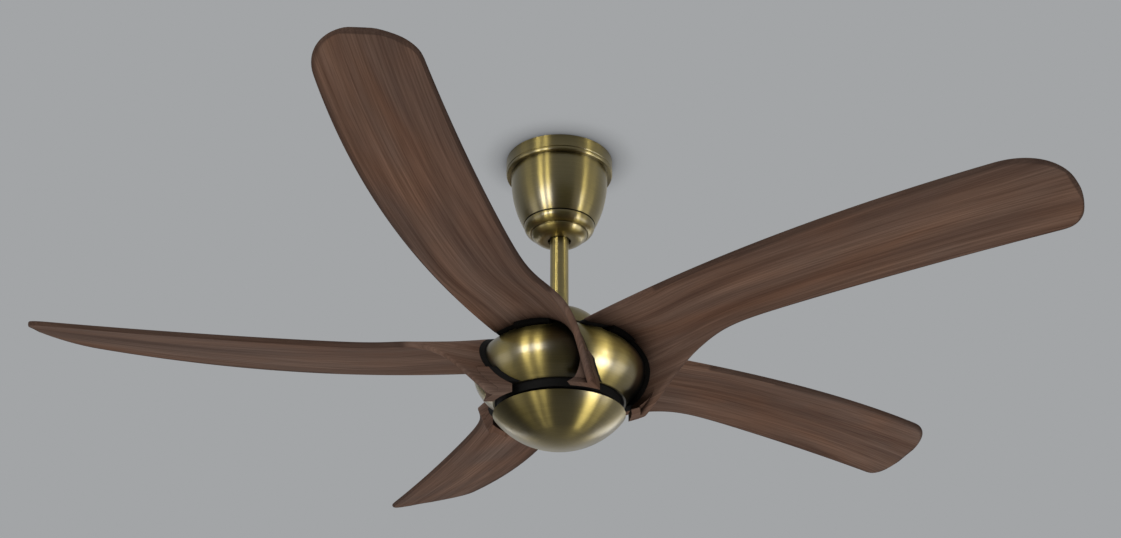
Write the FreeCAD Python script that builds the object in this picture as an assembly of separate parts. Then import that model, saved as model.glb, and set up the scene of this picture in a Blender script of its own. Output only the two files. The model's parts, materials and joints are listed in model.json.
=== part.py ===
import FreeCAD, Part
import math
import os

# Ceiling fan with five curved blades, in millimetres.
# The ceiling is the plane z = 0, the fan hangs below it and turns about the Z axis.

# Blades, each in its own frame: x outward along the blade, y towards the trailing edge
blade_count = 5
blade_heading = 251.0          # direction of the first blade, degrees from +X
tip_reach = 735.0              # x of the outermost tip point
tip_round = 88.0               # large round at the tip's leading side
tip_corner_round = 28.0        # small round at the tip's trailing side
tip_break = 15.0               # angle at which the tip's rounds cross the long edges
lead_peak_x = 345.0            # where the leading edge stands out most
lead_peak_y = -84.0
lead_bow_radius = 1371.0       # plan radius of the leading edge
waist_x = 313.0                # narrowest place of the blade
waist_y = 50.0                 # trailing edge there
waist_slope = 0.075
trail_bow_radius = 4545.0      # plan radius of the trailing edge
flare_width = 35.0             # how far the trailing edge swells at the root
flare_x = 211.0
flare_ease = 23.4
blade_rise = 8.0               # leading edge height at the root, above the tongue's lower face
blade_level_x = 139.0
lead_rise = 0.035
lead_lift_radius = 9090.0      # upward bend of the leading edge
trail_fall = 7.8               # trailing edge below that face, before the root flap
trail_level_x = 101.0
trail_rise = 0.030
flap_depth = 110.0             # downturned root flap along the trailing edge
flap_x = 121.6
flap_ease = 29.0
flap_tightness = 15.0          # how soon the flap's bend turns square
flap_crown = 0.65              # share of the flap that rounds its shoulder upwards
blade_camber = 5.0
blade_root_thickness = 10.0
blade_tip_thickness = 6.0
blade_start_x = 55.0
section_count = 16             # sections the blade is drawn through, closer at the root
section_crowding = 1.4
root_gap = 7.5                 # dark gap between blade root and housing
foot_bottom = -407.0
foot_top = -370.0
foot_left = 27.0               # half widths of the flared foot
foot_right = 5.5
foot_thickness = 12.0
foot_hollow = 0.18             # share of the foot's flare that is reached half way down
tongue_start = 58.0            # inner tongue of the blade, bolted on the motor
tongue_end = 120.0
tongue_low_y = -26.0
tongue_high_y = 24.0
tongue_headroom = 1.3          # room over the screw heads on the tongue
tongue_thickness = 8.0
tongue_clearance = 0.6
tongue_screw_x = 72.0
tongue_screw_y = 14.0

# Housing round the motor
housing_radius = 119.5
housing_half_height = 60.0     # above its widest place
housing_depth = 68.0           # below its widest place, if it weren't cut off at the mouth
housing_centre = -348.0
housing_wall = 1.5
housing_deck_radius = 60.0
housing_deck_hole = 36.0
housing_mouth_radius = 92.0
seal_clearance = 0.3
deck_screw_circle = 52.0
deck_post_radius = 5.0

# Canopy at the ceiling
canopy_radius = 71.5
canopy_wall = 1.2
canopy_top_gap = 1.0
canopy_shoulder = -27.0
canopy_edge_radius = 52.5
canopy_edge = -108.0
canopy_lip = 3.0
ring_radius = 79.0
ring_wall = 1.2
ring_height = 25.0
ring_bead = 6.0                # round bead along the ring's lower edge
ring_groove = 0.8              # groove over the bead
ring_fit = 0.2
cap_groove = 2.0
cap_tier_radius = 51.8
cap_step = -122.5
cap_step_radius = 42.5
cap_bottom = -134.5
cap_bottom_radius = 23.0
cap_hole_radius = 17.0
cap_fit = 0.3
tier_fullness = 0.65           # how far the cap's tiers bulge outwards

# Hanger bracket, ball and rod
bracket_fit = 0.6              # gap between the bracket's ends and the canopy
bracket_width = 44.0
bracket_plate = 3.0
slot_spacing = 88.9
slot_width = 5.6
slot_length = 11.0
tab_width = 14.0
tab_height = 18.0
leg_inset = 33.0
leg_width = 40.0
seat_top = -72.0
seat_thickness = 10.0
seat_depth = 68.0
ball_radius = 27.0
ball_centre = -62.0
ball_top = -50.0
ball_bottom = -83.0
ball_fit = 0.06
pipe_radius = 13.35
pipe_wall = 2.5
pipe_top = -44.0
pipe_depth = 26.0              # how deep the rod sits in the coupling
pipe_fit = 0.05
seat_rod_gap = 1.5
ball_pin_height = -55.5
pin_radius = 3.0
pin_fit = 0.05
set_screw_radius = 3.0
ball_screw_height = -61.0
receiver_size = (60.0, 34.0, 22.0)
canopy_screw_height = -12.0
canopy_screw_radius = 2.0
screw_head_height = 2.2
screw_head_ratio = 1.8
screw_drive_ratio = 0.6
washer_ratio = 2.4

# Coupling and its cover
coupling_radius = 20.0
coupling_gap = 3.0             # gap between the coupling and the motor's hub
coupling_height = 39.0
coupling_pin_drop = 12.0       # pin below the coupling's top
coupling_pin_head = 4.5
clip_thickness = 1.2
coupling_screw_drop = 19.0     # set screws below the coupling's top
cover_radius = 62.0
cover_gap = 4.9                # gap between the cover and the housing's deck
cover_headroom = 11.0          # cover's top above the coupling
cover_flat_radius = 20.0
cover_hole_radius = 15.5
cover_wall = 1.2
grommet_flange = 2.0
grommet_grip = 2.5

# Motor
shaft_radius = 7.5
shaft_bore = 4.2
shaft_depth = 12.0             # how deep the shaft sits in the coupling
shaft_bottom = -430.0
bell_radius = 88.0
bell_thickness = 8.0
bell_hub_radius = 24.0
bell_lip_hole = 12.0
bell_lip = 1.5
rotor_wall = 6.0
magnet_thickness = 6.0
magnet_end_room = 6.0          # rotor ring beyond each end of the magnets
magnet_count = 10
magnet_gap_angle = 2.0
air_gap = 0.8
stator_end_room = 8.5          # room for the coils beyond each end of the core
stator_teeth = 12
tooth_width = 12.0
tooth_tip = 6.0
slot_mouth = 3.0
stator_hub_radius = 32.0
coil_thickness = 5.5
coil_fit = 0.3
motor_screw_radius = 2.0
bearing_outer_radius = 17.5
bearing_width = 11.0
bearing_fit = 0.02
bearing_ball_radius = 2.975
bearing_pitch_radius = 12.5
bearing_ball_count = 8
race_play = 0.08
race_land = 1.85
cage_half_width = 1.6
cage_half_height = 3.8
cage_pocket_play = 0.1
upper_hub_rise = 14.0          # top of the upper bearing above the motor's upper face

# Under the motor
shield_radius = 86.0
shield_wall = 1.5
shield_lift = 1.7              # brim of the pan above the housing's mouth
shield_bottom = -403.0
shield_hole = 27.0
shield_post_circle = 60.0
bowl_radius = 91.5
bowl_depth = 45.0
bowl_rim = -409.0
bowl_wall = 1.2
carrier_play = 1.8             # room between the carrier plate and the bowl
carrier_thickness = 2.0
carrier_top = -411.5
lug_count = 3
lug_width = 14.0
lug_length = 8.0
collar_radius = 12.0
collar_height = 2.4
nut_across = 24.0
nut_height = 6.0
board_length = 90.0
board_width = 60.0
board_thickness = 1.6
board_drop = 21.0
standoff_radius = 3.0
standoff_inset = 6.0
fixing_radius = 1.5
part_column = 27.0             # distance of the board's parts from its middle
capacitor_radius = 6.3
capacitor_height = 14.7
choke_radius = 7.5
choke_height = 8.8
terminal_size = (24.0, 12.0, 9.0)

V = FreeCAD.Vector
Z_AXIS = V(0, 0, 1)
blade_step = 360.0 / blade_count
shell_inner_radius = housing_radius - housing_wall
shell_inner_tall = housing_half_height - housing_wall
shell_inner_depth = housing_depth - housing_wall
screw_reach = math.hypot(tongue_screw_x, tongue_screw_y) + 2 * washer_ratio * motor_screw_radius
screw_ceiling = housing_centre + shell_inner_tall * math.sqrt(1 - (screw_reach / shell_inner_radius) ** 2)
screw_stack = tongue_thickness + clip_thickness + screw_head_height
tongue_bottom = screw_ceiling - tongue_headroom - screw_stack
blade_level = tongue_bottom + blade_rise
trail_level = tongue_bottom - trail_fall
bell_top = tongue_bottom
upper_bell_bottom = bell_top - bell_thickness
lower_bell_bottom = 2 * housing_centre - bell_top
lower_bell_top = lower_bell_bottom + bell_thickness
rotor_height = upper_bell_bottom - lower_bell_top
magnet_height = rotor_height - 2 * magnet_end_room
stator_height = rotor_height - 2 * stator_end_room
motor_middle = housing_centre
rotor_inner = bell_radius - rotor_wall
magnet_inner = rotor_inner - magnet_thickness
stator_radius = magnet_inner - air_gap
upper_bearing_top = bell_top + upper_hub_rise
upper_hub_top = upper_bearing_top + bell_lip
lower_bearing_top = lower_bell_bottom - 2 * bell_lip
lower_bearing_bottom = lower_bearing_top - bearing_width
lower_hub_bottom = lower_bearing_bottom - bell_lip
carrier_bottom = carrier_top - carrier_thickness
bowl_round = (bowl_radius ** 2 + bowl_depth ** 2) / (2 * bowl_depth)
bowl_centre = bowl_rim - bowl_depth + bowl_round
carrier_radius = math.sqrt((bowl_round - bowl_wall) ** 2 - (bowl_centre - carrier_bottom) ** 2) - carrier_play
board_top = carrier_bottom - board_drop
deck_share = math.sqrt(1 - (housing_deck_radius / housing_radius) ** 2)
mouth_share = math.sqrt(1 - (housing_mouth_radius / housing_radius) ** 2)
deck_height = housing_centre + housing_half_height * deck_share
mouth_height = housing_centre - housing_depth * mouth_share
shield_top = mouth_height + shield_lift
cover_rim = deck_height + cover_gap
coupling_bottom = upper_hub_top + coupling_gap
coupling_top = coupling_bottom + coupling_height
coupling_pin_height = coupling_top - coupling_pin_drop
coupling_screw_height = coupling_top - coupling_screw_drop
pipe_bottom = coupling_top - pipe_depth
shaft_top = coupling_bottom + shaft_depth
cover_top = coupling_top + cover_headroom
seat_bottom = seat_top - seat_thickness
bracket_length = 2 * (canopy_radius - canopy_wall - bracket_fit)


def cylinder(radius, low, high, x=0.0, y=0.0):
    """Upright cylinder between two heights."""
    return Part.makeCylinder(radius, high - low, V(x, y, low))


def tube(outer, inner, low, high):
    """Upright tube on the fan's axis."""
    return cylinder(outer, low, high).cut(cylinder(inner, low, high))


def bar(radius, start, end):
    """Round bar from one point to another."""
    return Part.makeCylinder(radius, (end - start).Length, start, end - start)


def block(low, high):
    """Box between two corners."""
    return Part.makeBox(high[0] - low[0], high[1] - low[1], high[2] - low[2], V(*low))


def turned(shape, angle):
    """Copy of a shape turned about the fan's axis."""
    copy = shape.copy()
    copy.rotate(V(0, 0, 0), Z_AXIS, angle)
    return copy


def at_polar(radius, angle, height):
    """Point at a radius and an angle in degrees."""
    return V(radius * math.cos(math.radians(angle)), radius * math.sin(math.radians(angle)), height)


def lathe(edges):
    """Solid turned about Z from a closed outline in the XZ plane."""
    return Part.Face(Part.Wire(edges)).revolve(V(0, 0, 0), Z_AXIS, 360)


def line(start, end):
    """Straight edge between two (radius, height) points."""
    return Part.makeLine(V(start[0], 0, start[1]), V(end[0], 0, end[1]))


def path(*points):
    """Straight edges through (radius, height) points."""
    return [line(a, b) for a, b in zip(points, points[1:])]


def ellipse_edge(across, tall, centre, low_radius, high_radius, side):
    """Part of an ellipse on the axis between two radii, above (side 1) or below (side -1) its centre."""
    angles = sorted(side * math.acos(radius / across) for radius in (low_radius, high_radius))
    middle = V(0, 0, centre)
    if across >= tall:
        curve = Part.Ellipse(middle + V(across, 0, 0), middle + V(0, 0, tall), middle)
        return Part.ArcOfEllipse(curve, angles[0], angles[1]).toBSpline().toShape()
    curve = Part.Ellipse(middle + V(0, 0, tall), middle + V(-across, 0, 0), middle)
    quarter = math.pi / 2
    return Part.ArcOfEllipse(curve, angles[0] - quarter, angles[1] - quarter).toBSpline().toShape()


def grown_housing(gap):
    """Full round body of the housing, grown by a gap all round."""
    wide = housing_radius + gap
    tall = housing_half_height + gap
    deep = housing_depth + gap
    upper = ellipse_edge(wide, tall, housing_centre, 0.0, wide, 1)
    lower = ellipse_edge(wide, deep, housing_centre, 0.0, wide, -1)
    return lathe([upper, lower, line((0, housing_centre - deep), (0, housing_centre + tall))])


def pan_screw(radius, length, seat, direction):
    """Pan-head screw whose head sits on the seat point; the shank runs along the direction."""
    way = V(direction).normalize()
    shank = bar(radius, seat - way * screw_head_height / 2, seat + way * length)
    head_top = seat - way * screw_head_height
    head = bar(radius * screw_head_ratio, head_top, seat)
    drive = bar(radius * screw_drive_ratio, head_top, seat - way * screw_head_height / 2)
    return shank.fuse(head).cut(drive).removeSplitter()


# Blade surface

def lead_edge(x):
    """Leading edge of the blade at x: y and z."""
    y = lead_peak_y + (x - lead_peak_x) ** 2 / (2 * lead_bow_radius)
    run = x - blade_level_x
    return y, blade_level + lead_rise * run + run ** 2 / (2 * lead_lift_radius)


def eased(x, middle, ease):
    """Smooth step from 1 inside to 0 outside."""
    return 1 / (1 + math.exp((x - middle) / ease))


def trail_edge(x):
    """Trailing edge before the root flap, and the flap's depth there."""
    run = x - waist_x
    y = waist_y + waist_slope * run + run ** 2 / (2 * trail_bow_radius)
    y += flare_width * eased(x, flare_x, flare_ease)
    z = trail_level + trail_rise * (x - trail_level_x)
    return y, z, flap_depth * eased(x, flap_x, flap_ease)


def middle_line(x, half):
    """Four control points of the blade's middle line at x, half a thickness short of the edges."""
    lead_y, lead_z = lead_edge(x)
    trail_y, trail_z, flap = trail_edge(x)
    square = flap / (flap + flap_tightness)
    third_y = (trail_y - lead_y) / 3
    third_z = (trail_z - lead_z) / 3
    rise = (1 - square) * third_z - flap_crown * flap
    lead = V(x, lead_y, lead_z)
    second = V(x, lead_y + third_y, lead_z + third_z + blade_camber)
    third = V(x, trail_y - (1 - square) * third_y, trail_z - rise + blade_camber)
    trail = V(x, trail_y, trail_z - flap)
    lead_way = (second - lead).normalize()
    trail_way = (trail - third).normalize()
    return [lead + lead_way * half, second, third, trail - trail_way * half]


def across(a, b):
    """Unit normal in the section plane, left of the way from a to b."""
    way = b - a
    return V(0, -way.z, way.y).normalize()


def curve_edge(poles):
    """Smooth edge with these control points."""
    curve = Part.BezierCurve()
    curve.setPoles(poles)
    return curve.toShape()


def blade_section(x):
    """Closed thin outline of the blade at x, with round edges."""
    share = (x - blade_start_x) / (tip_reach - blade_start_x)
    half = (blade_root_thickness + (blade_tip_thickness - blade_root_thickness) * share) / 2
    middle = middle_line(x, half)
    normals = [
        across(middle[0], middle[1]),
        across(middle[0], middle[2]),
        across(middle[1], middle[3]),
        across(middle[2], middle[3]),
    ]
    top = [point + normal * half for point, normal in zip(middle, normals)]
    low = [point - normal * half for point, normal in zip(middle, normals)]
    lead_nose = middle[0] - (middle[1] - middle[0]).normalize() * half
    trail_nose = middle[3] + (middle[3] - middle[2]).normalize() * half
    return Part.Wire([
        curve_edge(top),
        Part.Arc(top[3], trail_nose, low[3]).toShape(),
        curve_edge(low[::-1]),
        Part.Arc(low[0], lead_nose, top[0]).toShape(),
    ])


def tip_prism():
    """Upright block with the blade's tip outline, wider than the blade elsewhere."""
    bow_centre_y = lead_peak_y + lead_bow_radius
    big_x = tip_reach - tip_round
    big_y = bow_centre_y - math.sqrt((lead_bow_radius - tip_round) ** 2 - (big_x - lead_peak_x) ** 2)
    slope = waist_slope + (big_x - waist_x) / trail_bow_radius
    lean = math.atan(slope)
    offset = trail_edge(big_x)[0] - tip_corner_round / math.cos(lean) - big_y
    reach = tip_round - tip_corner_round
    steep = 1 + slope ** 2
    run = (math.sqrt(steep * reach ** 2 - offset ** 2) - offset * slope) / steep
    small_x = big_x + run
    small_y = big_y + offset + slope * run
    turn = math.atan2(small_y - big_y, small_x - big_x)
    start = math.radians(tip_break - 90) + math.asin((big_x - lead_peak_x) / lead_bow_radius)
    stop = math.radians(90 - tip_break) + lean

    def on_round(x, y, radius, angle):
        return V(x + radius * math.cos(angle), y + radius * math.sin(angle), foot_bottom * 2)

    big = [on_round(big_x, big_y, tip_round, a) for a in (start, (start + turn) / 2, turn)]
    small = [on_round(small_x, small_y, tip_corner_round, a) for a in (turn, (turn + stop) / 2, stop)]
    width = tip_reach / 3
    lead_out = big[0] + V(math.sin(start), -math.cos(start), 0) * width
    trail_out = small[2] + V(-math.sin(stop), math.cos(stop), 0) * width
    lead_in = V(0, lead_out.y, big[0].z)
    trail_in = V(0, trail_out.y, big[0].z)
    outline = Part.Wire([
        Part.makeLine(lead_in, lead_out),
        Part.makeLine(lead_out, big[0]),
        Part.Arc(*big).toShape(),
        Part.Arc(*small).toShape(),
        Part.makeLine(small[2], trail_out),
        Part.makeLine(trail_out, trail_in),
        Part.makeLine(trail_in, lead_in),
    ])
    return Part.Face(outline).extrude(V(0, 0, -foot_bottom * 2))


def root_space(gap):
    """Room the housing and the pan below it need, with a gap all round."""
    well = cylinder(housing_mouth_radius + gap, foot_bottom * 2, mouth_height)
    return grown_housing(gap).fuse(well)


def blade_foot():
    """Flared lower end of the root flap, a slab with hollow sides against the housing."""
    low = foot_bottom - foot_thickness
    neck = blade_root_thickness / 2
    bend = (foot_bottom + foot_top) / 2
    flap_y = trail_edge(blade_start_x)[0]

    def corner(side, height):
        return V(0, flap_y + side, height)

    def flank(side, reach):
        waist = neck + (reach - neck) * foot_hollow
        top = corner(side * neck, foot_top)
        return Part.Arc(top, corner(side * waist, bend), corner(side * reach, foot_bottom)).toShape()

    outline = Part.Wire([
        flank(-1, foot_left),
        Part.makeLine(corner(-foot_left, foot_bottom), corner(-foot_left, low)),
        Part.makeLine(corner(-foot_left, low), corner(foot_right, low)),
        Part.makeLine(corner(foot_right, low), corner(foot_right, foot_bottom)),
        flank(1, foot_right),
        Part.makeLine(corner(neck, foot_top), corner(-neck, foot_top)),
    ])
    slab = Part.Face(outline).extrude(V(2 * housing_radius, 0, 0))
    return slab.common(root_space(root_gap + foot_thickness))


def blade_body():
    """Blade with its flap and foot, before the housing is cut away from it."""
    run = tip_reach + tip_corner_round - blade_start_x
    shares = [i / section_count for i in range(section_count + 1)]
    stations = [blade_start_x + run * share ** section_crowding for share in shares]
    sheet = Part.makeLoft([blade_section(x) for x in stations], True, False)
    sheet = sheet.common(tip_prism())
    floor = block((-tip_reach, -tip_reach, foot_bottom * 2), (tip_reach, tip_reach, foot_bottom))
    return sheet.fuse(blade_foot()).cut(floor)


def tongue(grow):
    """Flat inner tongue of the blade, grown all round for the slot it passes."""
    low = (tongue_start - grow, tongue_low_y - grow, tongue_bottom - grow)
    high = (tongue_end + grow, tongue_high_y + grow, tongue_bottom + tongue_thickness + grow)
    return block(low, high)


def tongue_screw_places():
    """Centres of the blade screws in the blade's own frame."""
    middle = (tongue_low_y + tongue_high_y) / 2
    return [(tongue_screw_x, middle + side * tongue_screw_y) for side in (-1, 1)]


def blade(body):
    """Whole blade: body cut clear of the housing, with its tongue and screw holes."""
    solid = body.cut(root_space(root_gap)).fuse(tongue(0.0))
    for x, y in tongue_screw_places():
        top = tongue_bottom + 2 * tongue_thickness
        solid = solid.cut(cylinder(motor_screw_radius + pin_fit, 2 * tongue_bottom, top, x, y))
    return solid.removeSplitter()


def blade_seal(body):
    """Black seal that fills the gap between the blade's root and the housing."""
    outer = grown_housing(root_gap - seal_clearance)
    inner = grown_housing(seal_clearance)
    wide = 2 * housing_radius
    kept = block((0, -wide, mouth_height), (wide, wide, deck_height))
    return body.common(kept).common(outer).cut(inner).cut(tongue(tongue_clearance))


# Ceiling end

def hanger_bracket():
    """Steel bracket: ceiling plate with two slots, end tabs, two legs and the ball seat."""
    half = bracket_length / 2
    plate = block((-half, -bracket_width / 2, -bracket_plate), (half, bracket_width / 2, 0))
    leg_out = leg_inset + bracket_plate
    seat = block((-leg_out, -seat_depth / 2, seat_bottom), (leg_out, seat_depth / 2, seat_top))
    solid = plate.fuse(seat)
    for side in (-1, 1):
        legs = sorted((side * leg_inset, side * leg_out))
        tabs = sorted((side * (half - bracket_plate), side * half))
        solid = solid.fuse(block((legs[0], -leg_width / 2, seat_top), (legs[1], leg_width / 2, 0)))
        solid = solid.fuse(block((tabs[0], -tab_width / 2, -tab_height), (tabs[1], tab_width / 2, 0)))
        solid = solid.cut(ceiling_slot(side * slot_spacing / 2))
        start = V(side * leg_out, 0, canopy_screw_height)
        end = V(side * canopy_radius, 0, canopy_screw_height)
        solid = solid.cut(bar(canopy_screw_radius + pin_fit, start, end))
    solid = solid.cut(Part.makeSphere(ball_radius + ball_fit, V(0, 0, ball_centre)))
    mouth = pipe_radius + seat_rod_gap
    solid = solid.cut(block((-mouth, 0, seat_bottom), (mouth, seat_depth, seat_top)))
    return solid.common(cylinder(half, seat_bottom, 0)).removeSplitter()


def ceiling_slot(x):
    """One mounting slot through the ceiling plate, its length along X."""
    half = (slot_length - slot_width) / 2
    low = -2 * bracket_plate
    slot = block((x - half, -slot_width / 2, low), (x + half, slot_width / 2, bracket_plate))
    for end in (-half, half):
        slot = slot.fuse(cylinder(slot_width / 2, low, bracket_plate, x + end))
    return slot


def receiver_box():
    """Receiver for the remote control, against the ceiling plate between the legs."""
    length, width, height = receiver_size
    top = -bracket_plate
    box = block((-length / 2, -width / 2, top - height), (length / 2, width / 2, top))
    upright = [edge for edge in box.Edges if abs(edge.tangentAt(edge.FirstParameter).z) > 0.9]
    return box.makeFillet(bracket_plate, upright)


def canopy():
    """Spun bell, straight at the ceiling and drawn in below to an inner lip."""
    tall = (canopy_shoulder - canopy_edge) / math.sqrt(1 - (canopy_edge_radius / canopy_radius) ** 2)
    inner_radius = canopy_radius - canopy_wall
    inner_tall = tall - canopy_wall
    lip_top = canopy_edge + canopy_wall
    inner_edge = inner_radius * math.sqrt(1 - ((canopy_shoulder - lip_top) / inner_tall) ** 2)
    lip_radius = canopy_edge_radius - canopy_lip
    edges = path((inner_radius, canopy_shoulder), (inner_radius, -canopy_top_gap),
                 (canopy_radius, -canopy_top_gap), (canopy_radius, canopy_shoulder))
    edges.append(ellipse_edge(canopy_radius, tall, canopy_shoulder, canopy_edge_radius, canopy_radius, -1))
    edges += path((canopy_edge_radius, canopy_edge), (lip_radius, canopy_edge), (lip_radius, lip_top),
                  (inner_edge, lip_top))
    edges.append(ellipse_edge(inner_radius, inner_tall, canopy_shoulder, inner_edge, inner_radius, -1))
    solid = lathe(edges)
    for side in (-1, 1):
        start = V(side * bracket_width / 2, 0, canopy_screw_height)
        solid = solid.cut(bar(canopy_screw_radius + pin_fit, start, start + V(side * canopy_radius, 0, 0)))
    return solid


def canopy_screws():
    """Two screws through the canopy's wall into the bracket's tabs."""
    screws = []
    for side in (-1, 1):
        seat = V(side * canopy_radius, 0, canopy_screw_height)
        screws.append(pan_screw(canopy_screw_radius, canopy_radius - bracket_length / 2 + bracket_plate, seat,
                                V(-side, 0, 0)))
    return Part.makeCompound(screws)


def canopy_ring():
    """Trim ring at the ceiling with a round bead along its lower edge and an inner lip against the canopy."""
    groove = ring_radius - ring_groove
    inner = groove - ring_wall
    lip = canopy_radius + ring_fit
    bead_top = ring_bead - ring_height
    lip_top = ring_wall - ring_height
    bead = Part.Arc(V(groove, 0, bead_top), V(ring_radius, 0, (bead_top - ring_height) / 2),
                    V(groove - ring_groove, 0, -ring_height))
    edges = path((inner, 0), (ring_radius, 0), (ring_radius, bead_top + ring_groove), (groove, bead_top))
    edges.append(bead.toShape())
    edges += path((groove - ring_groove, -ring_height), (lip, -ring_height), (lip, lip_top), (inner, lip_top),
                  (inner, 0))
    return lathe(edges)


def canopy_cap():
    """Stepped cap hung on the canopy's lip, with two rounded tiers and a hole for the rod."""
    lip_top = canopy_edge + canopy_wall
    neck = canopy_edge_radius - canopy_lip - cap_fit
    tier_top = canopy_edge - cap_groove
    groove_low = cap_step - cap_groove
    wall = canopy_wall
    flange = canopy_edge_radius - canopy_wall - cap_fit

    def tier(high, low, wide, narrow):
        middle_radius = narrow + (wide - narrow) * tier_fullness
        middle_height = low + (high - low) * (1 - tier_fullness)
        return Part.Arc(V(wide, 0, high), V(middle_radius, 0, middle_height), V(narrow, 0, low)).toShape()

    step_in = cap_step_radius - cap_groove
    edges = path((neck - wall, lip_top + wall), (flange, lip_top + wall), (flange, lip_top), (neck, lip_top),
                 (neck, tier_top), (cap_tier_radius, tier_top))
    edges.append(tier(tier_top, cap_step, cap_tier_radius, cap_step_radius))
    edges += path((cap_step_radius, cap_step), (step_in, cap_step), (step_in, groove_low))
    edges.append(tier(groove_low, cap_bottom, step_in, cap_bottom_radius))
    edges += path((cap_bottom_radius, cap_bottom), (cap_hole_radius, cap_bottom),
                  (cap_hole_radius, cap_bottom + wall), (cap_bottom_radius - wall, cap_bottom + wall),
                  (step_in - 2 * wall, groove_low), (step_in - 2 * wall, cap_step), (neck - wall, tier_top),
                  (neck - wall, lip_top + wall))
    return lathe(edges)


# Hanging frame

def hanger_ball():
    """Ball cut flat above and below, bored for the rod, its cross pin and its set screw."""
    solid = Part.makeSphere(ball_radius, V(0, 0, ball_centre))
    solid = solid.common(cylinder(ball_radius, ball_bottom, ball_top))
    solid = solid.cut(cylinder(pipe_radius + pipe_fit, 2 * ball_bottom, 0))
    pin_end = V(ball_radius, 0, ball_pin_height)
    solid = solid.cut(bar(pin_radius + pin_fit, V(-ball_radius, 0, ball_pin_height), pin_end))
    screw_end = V(0, -ball_radius, ball_screw_height)
    return solid.cut(bar(set_screw_radius + pin_fit, V(0, 0, ball_screw_height), screw_end))


def ball_pin():
    """Cross pin through the ball and the rod, inside the ball's round."""
    half = math.sqrt(ball_radius ** 2 - (ball_pin_height - ball_centre) ** 2) - pin_radius
    return bar(pin_radius, V(-half, 0, ball_pin_height), V(half, 0, ball_pin_height))


def set_screw(height, side, start, end):
    """Headless screw along Y from the rod's face outward, with a socket."""
    inner = V(0, side * start, height)
    outer = V(0, side * end, height)
    socket = bar(set_screw_radius / 2, outer + (inner - outer) / 2, outer)
    return bar(set_screw_radius, inner, outer).cut(socket)


def ball_set_screw():
    """Set screw from the ball's side against the rod."""
    end = math.sqrt(ball_radius ** 2 - (ball_screw_height - ball_centre) ** 2) - set_screw_radius
    return set_screw(ball_screw_height, -1, pipe_radius, end)


def downrod():
    """Pipe from the ball to the coupling, drilled for both cross pins."""
    pipe = tube(pipe_radius, pipe_radius - pipe_wall, pipe_bottom, pipe_top)
    for height in (ball_pin_height, coupling_pin_height):
        reach = V(coupling_radius, 0, 0)
        pipe = pipe.cut(bar(pin_radius + pin_fit, V(0, 0, height) - reach, V(0, 0, height) + reach))
    return pipe


def coupling():
    """Turned coupling between the rod and the motor shaft."""
    solid = cylinder(coupling_radius, coupling_bottom, coupling_top)
    solid = solid.cut(cylinder(pipe_radius + pipe_fit, pipe_bottom, coupling_top))
    solid = solid.cut(cylinder(shaft_radius + pipe_fit, coupling_bottom, coupling_top))
    reach = V(2 * coupling_radius, 0, 0)
    pin_centre = V(0, 0, coupling_pin_height)
    solid = solid.cut(bar(pin_radius + pin_fit, pin_centre - reach, pin_centre + reach))
    for side in (-1, 1):
        end = V(0, side * 2 * coupling_radius, coupling_screw_height)
        solid = solid.cut(bar(set_screw_radius + pin_fit, V(0, 0, coupling_screw_height), end))
    return solid


def coupling_pin():
    """Clevis pin with a head on one end."""
    centre = V(0, 0, coupling_pin_height)
    end = coupling_radius + 2 * clip_thickness + pin_radius / 2
    pin = bar(pin_radius, centre - V(coupling_radius, 0, 0), centre + V(end, 0, 0))
    head = bar(coupling_pin_head, centre - V(coupling_radius + pin_radius, 0, 0),
               centre - V(coupling_radius, 0, 0))
    return pin.fuse(head).removeSplitter()


def pin_clip():
    """Spring ring on the clevis pin's free end, open on one side."""
    start = V(coupling_radius + clip_thickness / 2, 0, coupling_pin_height)
    end = start + V(clip_thickness, 0, 0)
    ring = bar(coupling_pin_head, start, end).cut(bar(pin_radius + pin_fit, start, end))
    half = pin_radius / 2
    low = coupling_pin_height - 2 * coupling_pin_head
    return ring.cut(block((start.x, -half, low), (end.x, half, coupling_pin_height)))


def coupling_screws():
    """Two set screws that lock the rod in the coupling."""
    return Part.makeCompound([
        set_screw(coupling_screw_height, side, pipe_radius, coupling_radius) for side in (-1, 1)
    ])


def cover_tall():
    """Half height of the cover's full ellipse, from its rim to its flat top."""
    return (cover_top - cover_rim) / math.sqrt(1 - (cover_flat_radius / cover_radius) ** 2)


def coupler_cover():
    """Domed cover over the coupling, open below, with a flat round its hole."""
    tall = cover_tall()
    inner = cover_radius - cover_wall
    inner_tall = tall - cover_wall
    flat = cover_top - cover_wall
    inner_flat = inner * math.sqrt(1 - ((flat - cover_rim) / inner_tall) ** 2)
    edges = [ellipse_edge(cover_radius, tall, cover_rim, cover_flat_radius, cover_radius, 1)]
    edges += path((cover_flat_radius, cover_top), (cover_hole_radius, cover_top), (cover_hole_radius, flat),
                  (inner_flat, flat))
    edges.append(ellipse_edge(inner, inner_tall, cover_rim, inner_flat, inner, 1))
    edges += path((inner, cover_rim), (cover_radius, cover_rim))
    return lathe(edges)


def cover_grommet():
    """Rubber ring that grips the rod and holds the cover by its hole."""
    bore = pipe_radius + pipe_fit
    neck = cover_hole_radius - pipe_fit
    brim = cover_hole_radius + grommet_grip
    low = cover_top - cover_wall
    return lathe(path((bore, low - grommet_flange), (brim, low - grommet_flange), (brim, low), (neck, low),
                      (neck, cover_top), (brim, cover_top), (brim, cover_top + grommet_flange),
                      (bore, cover_top + grommet_flange), (bore, low - grommet_flange)))


def motor_shaft():
    """Fixed hollow shaft with a collar that the bowl carrier is drawn up to."""
    shaft = cylinder(shaft_radius, shaft_bottom, shaft_top)
    collar = cylinder(collar_radius, carrier_top, carrier_top + collar_height)
    return shaft.fuse(collar).cut(cylinder(shaft_bore, shaft_bottom, shaft_top)).removeSplitter()


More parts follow.
